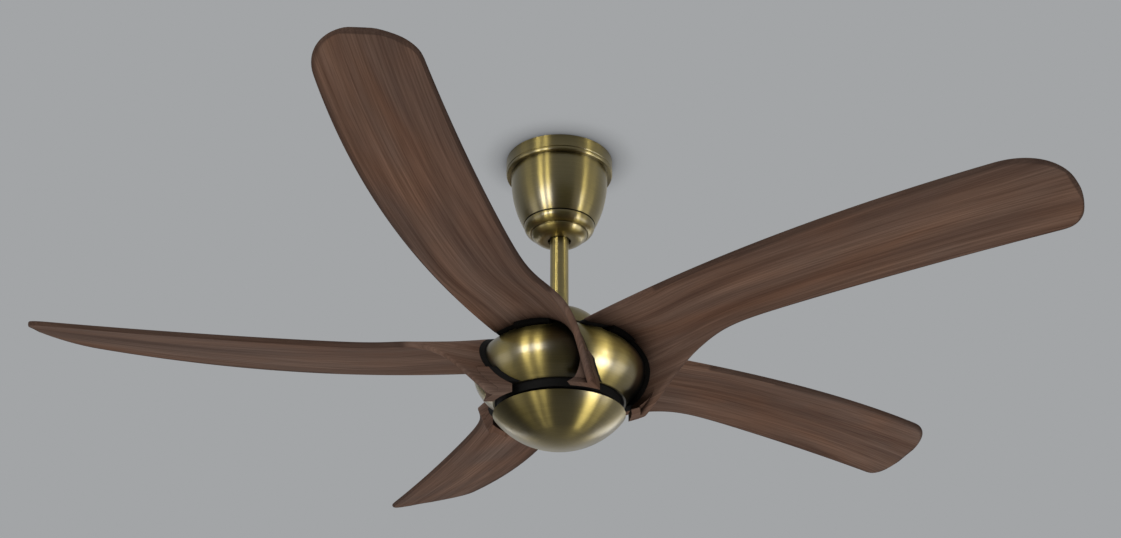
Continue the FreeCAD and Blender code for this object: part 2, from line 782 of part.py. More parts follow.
def stator_core():
    """Laminated core: hub, radial teeth and tooth tips that leave narrow slots."""
    low = motor_middle - stator_height / 2
    high = motor_middle + stator_height / 2
    solid = tube(stator_hub_radius, shaft_radius, low, high)
    rim = tube(stator_radius, stator_radius - tooth_tip, low, high)
    reach = stator_radius - tooth_tip / 2
    half = tooth_width / 2
    tooth = block((stator_hub_radius - half, -half, low), (reach, half, high))
    mouth = block((stator_hub_radius, -slot_mouth / 2, low), (2 * stator_radius, slot_mouth / 2, high))
    step = 360.0 / stator_teeth
    for i in range(stator_teeth):
        solid = solid.fuse(turned(tooth, i * step))
        rim = rim.cut(turned(mouth, (i + 0.5) * step))
    return solid.fuse(rim).removeSplitter()


def stator_windings():
    """One coil round each tooth, as a plain closed block."""
    inner = stator_hub_radius + tooth_width / 2
    outer = stator_radius - tooth_tip - coil_fit
    half = tooth_width / 2 + coil_fit
    tall = stator_height / 2 + coil_fit
    low = motor_middle - tall
    high = motor_middle + tall
    wide = half + coil_thickness
    coil = block((inner, -wide, low - coil_thickness), (outer, wide, high + coil_thickness))
    coil = coil.cut(block((0, -half, low), (stator_radius, half, high)))
    slope = math.tan(math.radians(180.0 / stator_teeth))
    room = 2 * stator_radius
    point = V(0, 0, 2 * low)
    corners = [point, V(room, -slope * room, 2 * low), V(room, slope * room, 2 * low), point]
    wedge = Part.Face(Part.makePolygon(corners)).extrude(V(0, 0, -2 * low))
    wedge.translate(V(coil_fit / slope, 0, 0))
    coil = coil.common(wedge).common(cylinder(outer, 2 * low, 0))
    step = 360.0 / stator_teeth
    return Part.makeCompound([turned(coil, i * step) for i in range(stator_teeth)])


def bearing(top):
    """Ball bearing with its top face at this height: inner ring, outer ring, balls and cage."""
    low = top - bearing_width
    middle = top - bearing_width / 2
    groove = Part.makeTorus(bearing_pitch_radius, bearing_ball_radius + race_play, V(0, 0, middle))
    land = race_land
    inner = tube(bearing_pitch_radius - land, shaft_radius + bearing_fit, low, top).cut(groove)
    outer = tube(bearing_outer_radius, bearing_pitch_radius + land, low, top).cut(groove)
    cage = tube(bearing_pitch_radius + cage_half_width, bearing_pitch_radius - cage_half_width,
                middle - cage_half_height, middle + cage_half_height)
    balls = []
    for i in range(bearing_ball_count):
        place = at_polar(bearing_pitch_radius, i * 360.0 / bearing_ball_count, middle)
        outward = V(place.x, place.y, 0).normalize() * bearing_ball_radius
        balls.append(Part.makeSphere(bearing_ball_radius, place))
        cage = cage.cut(bar(bearing_ball_radius + cage_pocket_play, place - outward, place + outward))
    return inner, outer, Part.makeCompound(balls), cage


def bowl_carrier():
    """Plate under the motor with notches for the bowl's lugs and posts for the driver board."""
    plate = cylinder(carrier_radius, carrier_bottom, carrier_top)
    plate = plate.cut(cylinder(shaft_radius + pipe_fit, carrier_bottom, carrier_top))
    notch_half = lug_width / 2 + standoff_radius
    notch = block((carrier_radius - lug_length, -notch_half, carrier_bottom),
                  (2 * carrier_radius, notch_half, carrier_top))
    step = 360.0 / lug_count
    for i in range(lug_count):
        plate = plate.cut(turned(notch, (i + 0.5) * step))
    for x, y in board_places():
        plate = plate.fuse(cylinder(standoff_radius, board_top, carrier_bottom, x, y))
        plate = plate.cut(cylinder(fixing_radius + pin_fit, board_top, carrier_bottom, x, y))
    return plate.removeSplitter()


def board_places():
    """Fixing points of the driver board."""
    x = board_length / 2 - standoff_inset
    y = board_width / 2 - standoff_inset
    return [(sx * x, sy * y) for sx in (-1, 1) for sy in (-1, 1)]


def shaft_nut():
    """Hexagon nut that draws the carrier up to the shaft's collar."""
    radius = nut_across / math.sqrt(3)
    corners = [at_polar(radius, 60 * i, carrier_bottom - nut_height) for i in range(7)]
    nut = Part.Face(Part.makePolygon(corners)).extrude(V(0, 0, nut_height))
    return nut.cut(cylinder(shaft_radius + pipe_fit, carrier_bottom - nut_height, carrier_bottom))


def driver_board():
    """Circuit board of the motor driver, below the carrier's posts."""
    low = board_top - board_thickness
    board = block((-board_length / 2, -board_width / 2, low), (board_length / 2, board_width / 2, board_top))
    for x, y in board_places():
        board = board.cut(cylinder(fixing_radius + pin_fit, low, board_top, x, y))
    return board


def board_parts():
    """Capacitors, choke and terminal block standing on the driver board."""
    row = board_width / 4
    parts = []
    for side in (-1, 1):
        top = board_top + capacitor_height
        parts.append(cylinder(capacitor_radius, board_top, top, part_column, side * row))
    parts.append(cylinder(choke_radius, board_top, board_top + choke_height, -part_column, row))
    length, width, height = terminal_size
    corner = (-part_column - length / 2, -row - width / 2, board_top)
    parts.append(block(corner, (corner[0] + length, corner[1] + width, board_top + height)))
    return Part.makeCompound(parts)


def board_screws():
    """Four screws that hold the driver board to the posts."""
    low = board_top - board_thickness
    return Part.makeCompound([
        pan_screw(fixing_radius, board_thickness + board_drop / 3, V(x, y, low), V(0, 0, 1))
        for x, y in board_places()
    ])


def bowl_room(wall):
    """Round cap that fills the bowl up to its rim, smaller by a wall."""
    ball = Part.makeSphere(bowl_round - wall, V(0, 0, bowl_centre))
    return ball.common(cylinder(2 * bowl_radius, bowl_rim - 2 * bowl_depth, bowl_rim))


def bowl():
    """Bottom bowl with inner lugs that hang on the carrier plate."""
    solid = bowl_room(0.0).cut(bowl_room(bowl_wall))
    lug = block((carrier_radius - lug_length + bowl_wall, -lug_width / 2, carrier_top),
                (bowl_radius, lug_width / 2, bowl_rim))
    lug = lug.common(bowl_room(bowl_wall / 2))
    step = 360.0 / lug_count
    for i in range(lug_count):
        solid = solid.fuse(turned(lug, i * step))
    return solid.removeSplitter()


# Rotor

def blade_turns():
    """Angle of each blade about the fan's axis."""
    return [blade_heading + i * blade_step for i in range(blade_count)]


def post_places(circle):
    """Points between the blades on a circle."""
    return [at_polar(circle, turn + blade_step / 2, 0) for turn in blade_turns()]


def upper_end_bell():
    """Upper end of the motor: flange for the blades, bearing hub and posts for the housing."""
    hub_low = upper_bell_bottom
    solid = cylinder(bell_radius, upper_bell_bottom, bell_top)
    solid = solid.fuse(cylinder(bell_hub_radius, hub_low, upper_hub_top))
    solid = solid.cut(cylinder(bearing_outer_radius + bearing_fit, hub_low, upper_bearing_top))
    solid = solid.cut(cylinder(bell_lip_hole, hub_low, upper_hub_top))
    post_top = deck_height - housing_wall
    for place in post_places(deck_screw_circle):
        solid = solid.fuse(cylinder(deck_post_radius, bell_top, post_top, place.x, place.y))
        solid = solid.cut(cylinder(fixing_radius + pin_fit, bell_top, post_top, place.x, place.y))
    for turn in blade_turns():
        for x, y in tongue_screw_places():
            hole = cylinder(motor_screw_radius + pin_fit, upper_bell_bottom, bell_top, x, y)
            solid = solid.cut(turned(hole, turn))
    hole_radius = motor_screw_radius + pin_fit
    for place in motor_screw_places():
        solid = solid.cut(cylinder(hole_radius, upper_bell_bottom, motor_screw_top(), place.x, place.y))
    return solid.removeSplitter()


def motor_screw_places():
    """Centres of the long motor screws, in the rotor ring's wall."""
    return post_places(bell_radius - rotor_wall / 2)


def motor_screw_top():
    """Height that the motor screws reach in the upper end bell."""
    return bell_top - motor_screw_radius


def lower_end_bell():
    """Lower end of the motor: flange, bearing hub and posts for the pan."""
    solid = cylinder(bell_radius, lower_bell_bottom, lower_bell_top)
    solid = solid.fuse(cylinder(bell_hub_radius, lower_hub_bottom, lower_bell_top))
    solid = solid.cut(cylinder(bearing_outer_radius + bearing_fit, lower_bearing_bottom, lower_bell_top))
    solid = solid.cut(cylinder(bell_lip_hole, lower_hub_bottom, lower_bell_top))
    for place in post_places(shield_post_circle):
        post_low = shield_bottom + shield_wall
        solid = solid.fuse(cylinder(deck_post_radius, post_low, lower_bell_bottom, place.x, place.y))
        solid = solid.cut(cylinder(fixing_radius + pin_fit, post_low, lower_bell_bottom, place.x, place.y))
    hole_radius = motor_screw_radius + pin_fit
    for place in motor_screw_places():
        solid = solid.cut(cylinder(hole_radius, lower_bell_bottom, lower_bell_top, place.x, place.y))
    return solid.removeSplitter()


def rotor_ring():
    """Steel ring between the end bells, drilled for the motor screws."""
    ring = tube(bell_radius, rotor_inner, lower_bell_top, upper_bell_bottom)
    for place in motor_screw_places():
        hole = cylinder(motor_screw_radius + pin_fit, lower_bell_top, upper_bell_bottom, place.x, place.y)
        ring = ring.cut(hole)
    return ring


def rotor_magnets():
    """Magnet tiles inside the rotor ring, with narrow gaps between them."""
    low = motor_middle - magnet_height / 2
    high = motor_middle + magnet_height / 2
    step = 360.0 / magnet_count
    span = step - magnet_gap_angle
    tiles = []
    for i in range(magnet_count):
        outer = Part.makeCylinder(rotor_inner, high - low, V(0, 0, low), Z_AXIS, span)
        inner = Part.makeCylinder(magnet_inner, high - low, V(0, 0, low), Z_AXIS, span)
        tiles.append(turned(outer.cut(inner), i * step))
    return Part.makeCompound(tiles)


def motor_screws():
    """Long screws that clamp the rotor ring between the end bells."""
    length = motor_screw_top() - lower_bell_bottom
    return Part.makeCompound([
        pan_screw(motor_screw_radius, length, V(place.x, place.y, lower_bell_bottom), V(0, 0, 1))
        for place in motor_screw_places()
    ])


def housing_shell():
    """Rounded brass housing with a flat deck on top, open below, slotted for the blade tongues."""
    inner = shell_inner_radius
    inner_tall = shell_inner_tall
    deck_low = deck_height - housing_wall
    deck_inner = inner * math.sqrt(1 - ((deck_low - housing_centre) / inner_tall) ** 2)
    mouth_inner = inner * math.sqrt(1 - ((housing_centre - mouth_height) / shell_inner_depth) ** 2)
    tall = housing_half_height
    centre = housing_centre
    edges = [
        ellipse_edge(housing_radius, tall, centre, housing_deck_radius, housing_radius, 1),
        ellipse_edge(housing_radius, housing_depth, centre, housing_mouth_radius, housing_radius, -1),
        line((housing_mouth_radius, mouth_height), (mouth_inner, mouth_height)),
        ellipse_edge(inner, shell_inner_depth, centre, mouth_inner, inner, -1),
        ellipse_edge(inner, inner_tall, centre, deck_inner, inner, 1),
    ]
    edges += path((deck_inner, deck_low), (housing_deck_hole, deck_low), (housing_deck_hole, deck_height),
                  (housing_deck_radius, deck_height))
    solid = lathe(edges)
    for turn in blade_turns():
        solid = solid.cut(turned(tongue(tongue_clearance), turn))
    for place in post_places(deck_screw_circle):
        solid = solid.cut(cylinder(fixing_radius + pin_fit, deck_low, deck_height, place.x, place.y))
    return solid


def shell_screws():
    """Screws through the housing's deck into the motor's posts."""
    length = deck_post_radius * 2
    return Part.makeCompound([
        pan_screw(fixing_radius, length, V(place.x, place.y, deck_height), V(0, 0, -1))
        for place in post_places(deck_screw_circle)
    ])


def lower_shield():
    """Black pan below the motor with a brim just inside the housing's mouth."""
    inner = shield_radius - shield_wall
    floor = shield_bottom + shield_wall
    drop = housing_centre - shield_top + shield_wall
    brim = shell_inner_radius * math.sqrt(1 - (drop / shell_inner_depth) ** 2) - seal_clearance
    brim_low = shield_top - shield_wall
    solid = lathe(path((inner, shield_top), (brim, shield_top), (brim, brim_low), (shield_radius, brim_low),
                       (shield_radius, shield_bottom), (shield_hole, shield_bottom), (shield_hole, floor),
                       (inner, floor), (inner, shield_top)))
    for place in post_places(shield_post_circle):
        solid = solid.cut(cylinder(fixing_radius + pin_fit, shield_bottom, floor, place.x, place.y))
    return solid


def shield_screws():
    """Screws up through the pan into the lower end bell's posts."""
    length = deck_post_radius * 2
    return Part.makeCompound([
        pan_screw(fixing_radius, length, V(place.x, place.y, shield_bottom), V(0, 0, 1))
        for place in post_places(shield_post_circle)
    ])


def blade_fixings():
    """Screws and washers that hold the blade tongues on the upper end bell."""
    top = tongue_bottom + tongue_thickness
    washer_top = top + clip_thickness
    screws = []
    washers = []
    for turn in blade_turns():
        for x, y in tongue_screw_places():
            length = washer_top - upper_bell_bottom - motor_screw_radius
            screw = pan_screw(motor_screw_radius, length, V(x, y, washer_top), V(0, 0, -1))
            screws.append(turned(screw, turn))
            washer = cylinder(washer_ratio * motor_screw_radius, top, washer_top, x, y)
            washer = washer.cut(cylinder(motor_screw_radius + pin_fit, top, washer_top, x, y))
            washers.append(turned(washer, turn))
    return Part.makeCompound(screws), Part.makeCompound(washers)


def main():
    """Build every piece and write one file for each."""
    pieces = {
        "hanger_bracket": hanger_bracket(),
        "receiver_box": receiver_box(),
        "canopy": canopy(),
        "canopy_ring": canopy_ring(),
        "canopy_cap": canopy_cap(),
        "canopy_screws": canopy_screws(),
        "hanger_ball": hanger_ball(),
        "ball_pin": ball_pin(),
        "ball_set_screw": ball_set_screw(),
        "downrod": downrod(),
        "coupling": coupling(),
        "coupling_pin": coupling_pin(),
        "pin_clip": pin_clip(),
        "coupling_screws": coupling_screws(),
        "coupler_cover": coupler_cover(),
        "cover_grommet": cover_grommet(),
        "motor_shaft": motor_shaft(),
        "stator_core": stator_core(),
        "stator_windings": stator_windings(),
        "bowl_carrier": bowl_carrier(),
        "shaft_nut": shaft_nut(),
        "driver_board": driver_board(),
        "board_parts": board_parts(),
        "board_screws": board_screws(),
        "bowl": bowl(),
        "upper_end_bell": upper_end_bell(),
        "lower_end_bell": lower_end_bell(),
        "rotor_ring": rotor_ring(),
        "rotor_magnets": rotor_magnets(),
        "motor_screws": motor_screws(),
        "housing_shell": housing_shell(),
        "shell_screws": shell_screws(),
        "lower_shield": lower_shield(),
        "shield_screws": shield_screws(),
    }
    for name, top in (("upper", upper_bearing_top), ("lower", lower_bearing_top)):
        inner, outer, balls, cage = bearing(top)
        pieces[name + "_bearing_inner"] = inner
        pieces[name + "_bearing_outer"] = outer
        pieces[name + "_bearing_balls"] = balls
        pieces[name + "_bearing_cage"] = cage
    body = blade_body()
    first_blade = blade(body)
    first_seal = blade_seal(body)
    for i, turn in enumerate(blade_turns()):
        pieces["blade_%d" % (i + 1)] = turned(first_blade, turn)
        pieces["blade_seal_%d" % (i + 1)] = turned(first_seal, turn)
    pieces["blade_screws"], pieces["screw_washers"] = blade_fixings()
    os.makedirs("parts", exist_ok=True)
    for name, shape in pieces.items():
        shape.exportStep("parts/%s.step" % name)
        print(name, len(shape.Solids), shape.isValid(), round(shape.Volume))


main()
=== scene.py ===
"""Looks of a ceiling fan: brushed antique brass, walnut blades and a plain ceiling to hang from."""
import json
import math

import bmesh
import bpy
from bpy.props import FloatProperty, FloatVectorProperty, IntProperty, PointerProperty
from bpy.types import Operator, Panel, PropertyGroup
from mathutils import Matrix, Vector


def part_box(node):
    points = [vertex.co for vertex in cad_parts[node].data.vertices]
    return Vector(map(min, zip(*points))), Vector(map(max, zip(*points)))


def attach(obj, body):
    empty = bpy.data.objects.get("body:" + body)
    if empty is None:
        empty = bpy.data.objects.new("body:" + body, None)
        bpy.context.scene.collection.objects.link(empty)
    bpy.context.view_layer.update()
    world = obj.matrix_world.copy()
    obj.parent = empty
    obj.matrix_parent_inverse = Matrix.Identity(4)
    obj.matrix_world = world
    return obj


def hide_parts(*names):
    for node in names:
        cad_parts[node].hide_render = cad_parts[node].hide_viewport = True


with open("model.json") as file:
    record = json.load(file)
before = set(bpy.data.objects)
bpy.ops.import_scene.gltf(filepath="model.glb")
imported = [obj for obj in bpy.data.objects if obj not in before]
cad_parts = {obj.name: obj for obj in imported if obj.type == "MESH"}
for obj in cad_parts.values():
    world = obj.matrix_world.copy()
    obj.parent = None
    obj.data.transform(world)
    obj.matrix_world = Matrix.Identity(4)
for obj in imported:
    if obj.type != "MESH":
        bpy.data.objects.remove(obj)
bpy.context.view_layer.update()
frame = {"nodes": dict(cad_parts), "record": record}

bl_info = {
    "name": "Ceiling Fan",
    "version": (1, 0, 0),
    "blender": (4, 5, 0),
    "location": "3D View > Sidebar > Ceiling Fan",
    "description": "Dresses the fan's frame with brass, walnut blades and a plain stage",
    "category": "Object",
}

# Blades: step of the grain from one blade to the next, and the least angle of a sharp edge
GRAIN_STEP = (2.37, 0.31, 0.17)
SHARP_ANGLE = math.radians(38)

# Stage round the fan, in metres, with bearings in degrees from the camera's side
CEILING_HEIGHT = 0.0008
DRAPE_BEARINGS = (10.0, 235.0)
DRAPE_SPREAD = 27.0
DRAPE_DISTANCE = 2.3
DRAPE_LEVELS = (-4.0, -0.02)
PANE_DISTANCE = 2.4
PANES = (
    # bearing, height, width, tallness, power
    (-75.0, -0.80, 0.80, 1.20, 4.0),
    (-43.0, -0.50, 0.30, 0.85, 18.0),
    (-27.0, -0.50, 0.26, 0.85, 16.0),
    (60.0, -0.60, 0.12, 0.80, 6.0),
    (64.0, -1.95, 0.95, 1.30, 70.0),
    (92.0, -1.50, 0.80, 1.30, 10.0),
    (150.0, -1.20, 0.50, 1.25, 4.0),
    (-150.0, -1.20, 0.50, 1.25, 4.0),
)
SUN_SPREAD = math.radians(70)
SUNS = (
    # name, direction, strength
    ("light_from_above", (0.35, 0.45, -1.0), 1.2),
    ("light_from_below", (0.25, 0.40, 1.0), 2.05),
)


def length(name, description, default):
    """Property for a length in metres."""
    return FloatProperty(name=name, description=description, default=default, unit="LENGTH", precision=4)


def share(name, description, default):
    """Property for a ratio."""
    return FloatProperty(name=name, description=description, default=default, subtype="FACTOR", precision=3)


def colour(name, description, default):
    """Property for a linear colour."""
    return FloatVectorProperty(name=name, description=description, default=default, subtype="COLOR",
                               size=3, min=0.0, max=1.0)


class FanBladeSizes(PropertyGroup):
    """Sizes of a blade in its own frame: x outward, y towards the trailing edge, z up from the ceiling."""
    count: IntProperty(name="Blades", description="Number of blades round the fan", default=5)
    heading: FloatProperty(name="Heading", description="Direction of the first blade from the X axis",
                           default=math.radians(251.0), unit="ROTATION")
    start: length("Start", "Distance of the blade's inner end from the fan's axis", 0.055)
    reach: length("Reach", "Distance of the tip from the fan's axis", 0.735)
    tip_round: length("Tip round", "Large round at the leading side of the tip", 0.088)
    corner_round: length("Corner round", "Small round at the trailing side of the tip", 0.028)
    root_thickness: length("Root thickness", "Thickness of the blade at its root", 0.010)
    tip_thickness: length("Tip thickness", "Thickness of the blade at its tip", 0.006)
    lead_peak: length("Leading peak", "Where the leading edge stands out most", 0.345)
    lead_offset: length("Leading offset", "How far the leading edge stands out there", -0.084)
    lead_bow: length("Leading bow", "Plan radius of the leading edge", 1.371)
    lead_level: length("Leading level", "Height of the leading edge near the root", -0.3111)
    lead_level_at: length("Leading level place", "Where that height is taken", 0.139)
    lead_rise: share("Leading rise", "Upward slope of the leading edge", 0.035)
    lead_lift: length("Leading lift", "Radius of the leading edge's upward bend", 9.090)
    waist: length("Waist", "Where the blade is narrowest", 0.313)
    waist_offset: length("Waist offset", "Trailing edge at the waist", 0.050)
    waist_slope: share("Waist slope", "Plan slope of the trailing edge at the waist", 0.075)
    trail_bow: length("Trailing bow", "Plan radius of the trailing edge", 4.545)
    trail_level: length("Trailing level", "Height of the trailing edge near the root", -0.3269)
    trail_level_at: length("Trailing level place", "Where that height is taken", 0.101)
    trail_rise: share("Trailing rise", "Upward slope of the trailing edge", 0.030)
    flare: length("Flare", "How far the trailing edge swells at the root", 0.035)
    flare_at: length("Flare place", "Middle of the swelling", 0.211)
    flare_ease: length("Flare ease", "Softness of the swelling", 0.0234)
    flap: length("Flap", "Depth of the root flap along the trailing edge", 0.110)
    flap_at: length("Flap place", "Middle of the flap's fall", 0.1216)
    flap_ease: length("Flap ease", "Softness of the flap's fall", 0.029)
    flap_tightness: length("Flap tightness", "Flap depth at which its bend is half square", 0.015)
    flap_crown: share("Flap crown", "Share of the flap that rounds its shoulder upwards", 0.65)
    camber: length("Camber", "Rise of the blade's middle", 0.005)
    dark_rim: length("Dark rim", "Width of the darker band along the blade's edge", 0.004)
    foot_top: length("Foot top", "Height at which the flap starts to flare", -0.370)
    foot_bottom: length("Foot bottom", "Lowest height of the blade's foot", -0.407)
    foot_left: length("Foot left", "Half width of the foot on the blade's side", 0.027)
    foot_right: length("Foot right", "Half width of the foot on the far side", 0.0055)
    foot_thickness: length("Foot thickness", "Thickness of the foot out from the housing", 0.012)
    foot_hollow: share("Foot hollow", "Share of the foot's flare that is reached half way down", 0.18)
    root_gap: length("Root gap", "Dark gap between the blade's root and the housing", 0.0075)
    tongue_start: length("Tongue start", "Inner end of the tongue on the motor", 0.058)
    tongue_end: length("Tongue end", "Outer end of the tongue in the blade", 0.112)
    tongue_low: length("Tongue low side", "Leading side of the tongue", -0.026)
    tongue_high: length("Tongue high side", "Trailing side of the tongue", 0.024)
    tongue_bottom: length("Tongue bottom", "Lower face of the tongue", -0.3191)
    tongue_thickness: length("Tongue thickness", "Thickness of the tongue", 0.008)


class FanHousingSizes(PropertyGroup):
    """Outline of the motor housing that the blade roots wrap round."""
    radius: length("Radius", "Largest radius of the housing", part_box("housing_shell")[1].x)
    half_height: length("Half height", "Height of the housing's full ellipse above its widest place", 0.060)
    depth: length("Depth", "Depth of the housing's full ellipse below its widest place", 0.068)
    centre: length("Centre", "Height of the housing's widest place", -0.348)
    mouth: length("Mouth", "Radius of the opening under the housing", 0.092)


class FanFinish(PropertyGroup):
    """Colours of the visible finishes."""
    brass: colour("Brass", "Lacquered antique brass", (0.290, 0.226, 0.066))
    brass_dark: colour("Dark brass", "Brass in the brushing lines", (0.205, 0.156, 0.042))
    walnut_dark: colour("Dark grain", "Dark grain of the walnut", (0.084, 0.048, 0.035))
    walnut_mid: colour("Walnut", "Main colour of the walnut", (0.127, 0.077, 0.056))
    walnut_light: colour("Light grain", "Light grain of the walnut", (0.176, 0.112, 0.083))
    walnut_edge: colour("Edge", "Darker edge of the blades", (0.030, 0.019, 0.015))
    # The seals' black also stands in for the shade in the gap round the blade roots.
    seal_black: colour("Seal", "Black rubber of the blade seals", (0.005, 0.0045, 0.004))


class FanStage(PropertyGroup):
    """Ceiling, floor, lamps and camera."""
    ceiling: colour("Ceiling", "Painted ceiling", (0.366, 0.376, 0.386))
    floor: colour("Floor", "Pale floor far below", (0.62, 0.62, 0.61))
    surround: colour("Surround", "Light that comes from all round", (0.55, 0.55, 0.55))
    surround_low: colour("Low surround", "Light that comes from below", (0.18, 0.18, 0.18))
    drape: colour("Drape", "Dark drape that the brass mirrors", (0.045, 0.045, 0.045))
    width: length("Width", "Width of the ceiling and the floor", 60.0)
    floor_drop: length("Floor drop", "Height of the floor below the ceiling", 2.1)
    eye: FloatVectorProperty(name="Eye", description="Place of the camera", subtype="TRANSLATION", size=3,
                             default=(0.0017, -1.9592, -1.2371))
    pitch: FloatProperty(name="Pitch", description="Upward tilt of the camera", default=math.radians(28.349),
                         unit="ROTATION")
    lens: FloatProperty(name="Lens", description="Focal length on a 36 mm sensor", default=49.51)


# Meshes

def new_piece(name, mesh_data, body, finish, slot, *nodes):
    """Object that rides on a body in place of its nodes."""
    piece = bpy.data.objects.new(name, mesh_data)
    bpy.context.scene.collection.objects.link(piece)
    mesh_data.materials.append(finish)
    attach(piece, body)
    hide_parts(*nodes)
    return piece


def scratch_object(name, bm):
    """Object from a bmesh, for use in a boolean."""
    data = bpy.data.meshes.new(name)
    bmesh.ops.recalc_face_normals(bm, faces=bm.faces)
    bm.to_mesh(data)
    bm.free()
    piece = bpy.data.objects.new(name, data)
    bpy.context.scene.collection.objects.link(piece)
    return piece


def joined(piece, tool, operation):
    """Apply a boolean with a tool object and delete the tool."""
    step = piece.modifiers.new("join", "BOOLEAN")
    step.operation = operation
    step.object = tool
    step.solver = "EXACT"
    graph = bpy.context.evaluated_depsgraph_get()
    result = bpy.data.meshes.new_from_object(piece.evaluated_get(graph))
    piece.modifiers.clear()
    piece.data = result
    bpy.data.objects.remove(tool)


def lathe_tool(name, outline, segments=160):
    """Closed solid turned about Z from (radius, height) points that start and end on the axis."""
    bm = bmesh.new()
    rings = []
    for radius, height in outline[1:-1]:
        angles = [2 * math.pi * i / segments for i in range(segments)]
        rings.append([bm.verts.new((radius * math.cos(a), radius * math.sin(a), height)) for a in angles])
    for low, high in zip(rings, rings[1:]):
        for i in range(segments):
            j = (i + 1) % segments
            bm.faces.new((low[i], low[j], high[j], high[i]))
    for ring, height in ((rings[0], outline[0][1]), (rings[-1], outline[-1][1])):
        pole = bm.verts.new((0, 0, height))
        for i in range(segments):
            bm.faces.new((ring[i], ring[(i + 1) % segments], pole))
    return scratch_object(name, bm)


def box_tool(name, low, high):
    """Box between two corners."""
    bm = bmesh.new()
    bmesh.ops.create_cube(bm, size=1.0)
    for vert in bm.verts:
        vert.co = Vector([a + (b - a) * (c + 0.5) for a, b, c in zip(low, high, vert.co)])
    return scratch_object(name, bm)


def eased(x, middle, ease):
    """Smooth step from 1 inside to 0 outside."""
    return 1 / (1 + math.exp((x - middle) / ease))


def lead_edge(blade, x):
    """Leading edge of the blade at x: y and z."""
    y = blade.lead_offset + (x - blade.lead_peak) ** 2 / (2 * blade.lead_bow)
    run = x - blade.lead_level_at
    return y, blade.lead_level + blade.lead_rise * run + run ** 2 / (2 * blade.lead_lift)


def trail_edge(blade, x):
    """Trailing edge before the root flap, and the flap's depth there."""
    run = x - blade.waist
    y = blade.waist_offset + blade.waist_slope * run + run ** 2 / (2 * blade.trail_bow)
    y += blade.flare * eased(x, blade.flare_at, blade.flare_ease)
    z = blade.trail_level + blade.trail_rise * (x - blade.trail_level_at)
    return y, z, blade.flap * eased(x, blade.flap_at, blade.flap_ease)


def middle_curve(blade, x):
    """Four control points of the blade's middle line at x."""
    lead_y, lead_z = lead_edge(blade, x)
    trail_y, trail_z, flap = trail_edge(blade, x)
    square = flap / (flap + blade.flap_tightness)
    third_y = (trail_y - lead_y) / 3
    third_z = (trail_z - lead_z) / 3
    rise = (1 - square) * third_z - blade.flap_crown * flap
    return [
        Vector((x, lead_y, lead_z)),
        Vector((x, lead_y + third_y, lead_z + third_z + blade.camber)),
        Vector((x, trail_y - (1 - square) * third_y, trail_z - rise + blade.camber)),
        Vector((x, trail_y, trail_z - flap)),
    ]


def on_curve(poles, t):
    """Point of the curve with four control points, and its way there."""
    a, b, c, d = poles
    s = 1 - t
    point = a * s ** 3 + b * (3 * s * s * t) + c * (3 * s * t * t) + d * t ** 3
    way = (b - a) * (s * s) + (c - b) * (2 * s * t) + (d - c) * (t * t)
    return point, way.normalized()


class TipOutline:
    """Plan outline of the blade's tip: a large round and a smaller one into the trailing edge."""
    touch_tries = 20

    def __init__(self, blade):
        self.blade = blade
        self.big = blade.tip_round
        self.big_x = blade.reach - self.big
        touch = self.big_x
        for _ in range(self.touch_tries):
            slope = (touch - blade.lead_peak) / blade.lead_bow
            touch = self.big_x + self.big * slope / math.hypot(1, slope)
        self.lead_touch = touch
        self.big_y = lead_edge(blade, touch)[0] + self.big / math.hypot(1, slope)
        self.small = blade.corner_round
        slope = blade.waist_slope + (self.big_x - blade.waist) / blade.trail_bow
        steep = 1 + slope ** 2
        offset = trail_edge(blade, self.big_x)[0] - self.small * math.sqrt(steep) - self.big_y
        spare = self.big - self.small
        run = (math.sqrt(steep * spare ** 2 - offset ** 2) - offset * slope) / steep
        self.small_x = self.big_x + run
        self.small_y = self.big_y + offset + slope * run
        self.trail_touch = self.small_x - self.small * slope / math.sqrt(steep)
        self.meet_x = self.big_x + self.big * run / spare

    def sides(self, x):
        """Leading and trailing y of the outline at x."""
        low = lead_edge(self.blade, x)[0]
        high = trail_edge(self.blade, x)[0]
        if x > self.lead_touch:
            low = self.big_y - math.sqrt(max(self.big ** 2 - (x - self.big_x) ** 2, 0))
        if x > self.meet_x:
            high = self.big_y + math.sqrt(max(self.big ** 2 - (x - self.big_x) ** 2, 0))
        elif x > self.trail_touch:
            high = self.small_y + math.sqrt(max(self.small ** 2 - (x - self.small_x) ** 2, 0))
        return low, high


def blade_stations(blade):
    """Places along the blade, closer at the root and at the tip."""
    root_end = blade.waist
    tip_start = blade.reach - blade.tip_round
    root_steps = 44
    middle_steps = 24
    tip_steps = 26
    end_slack = 1e-5
    places = [blade.start + (root_end - blade.start) * i / root_steps for i in range(root_steps)]
    places += [root_end + (tip_start - root_end) * i / middle_steps for i in range(middle_steps)]
    for i in range(tip_steps):
        places.append(tip_start + blade.tip_round * math.sin(math.pi / 2 * i / tip_steps))
    return places + [blade.reach - end_slack]


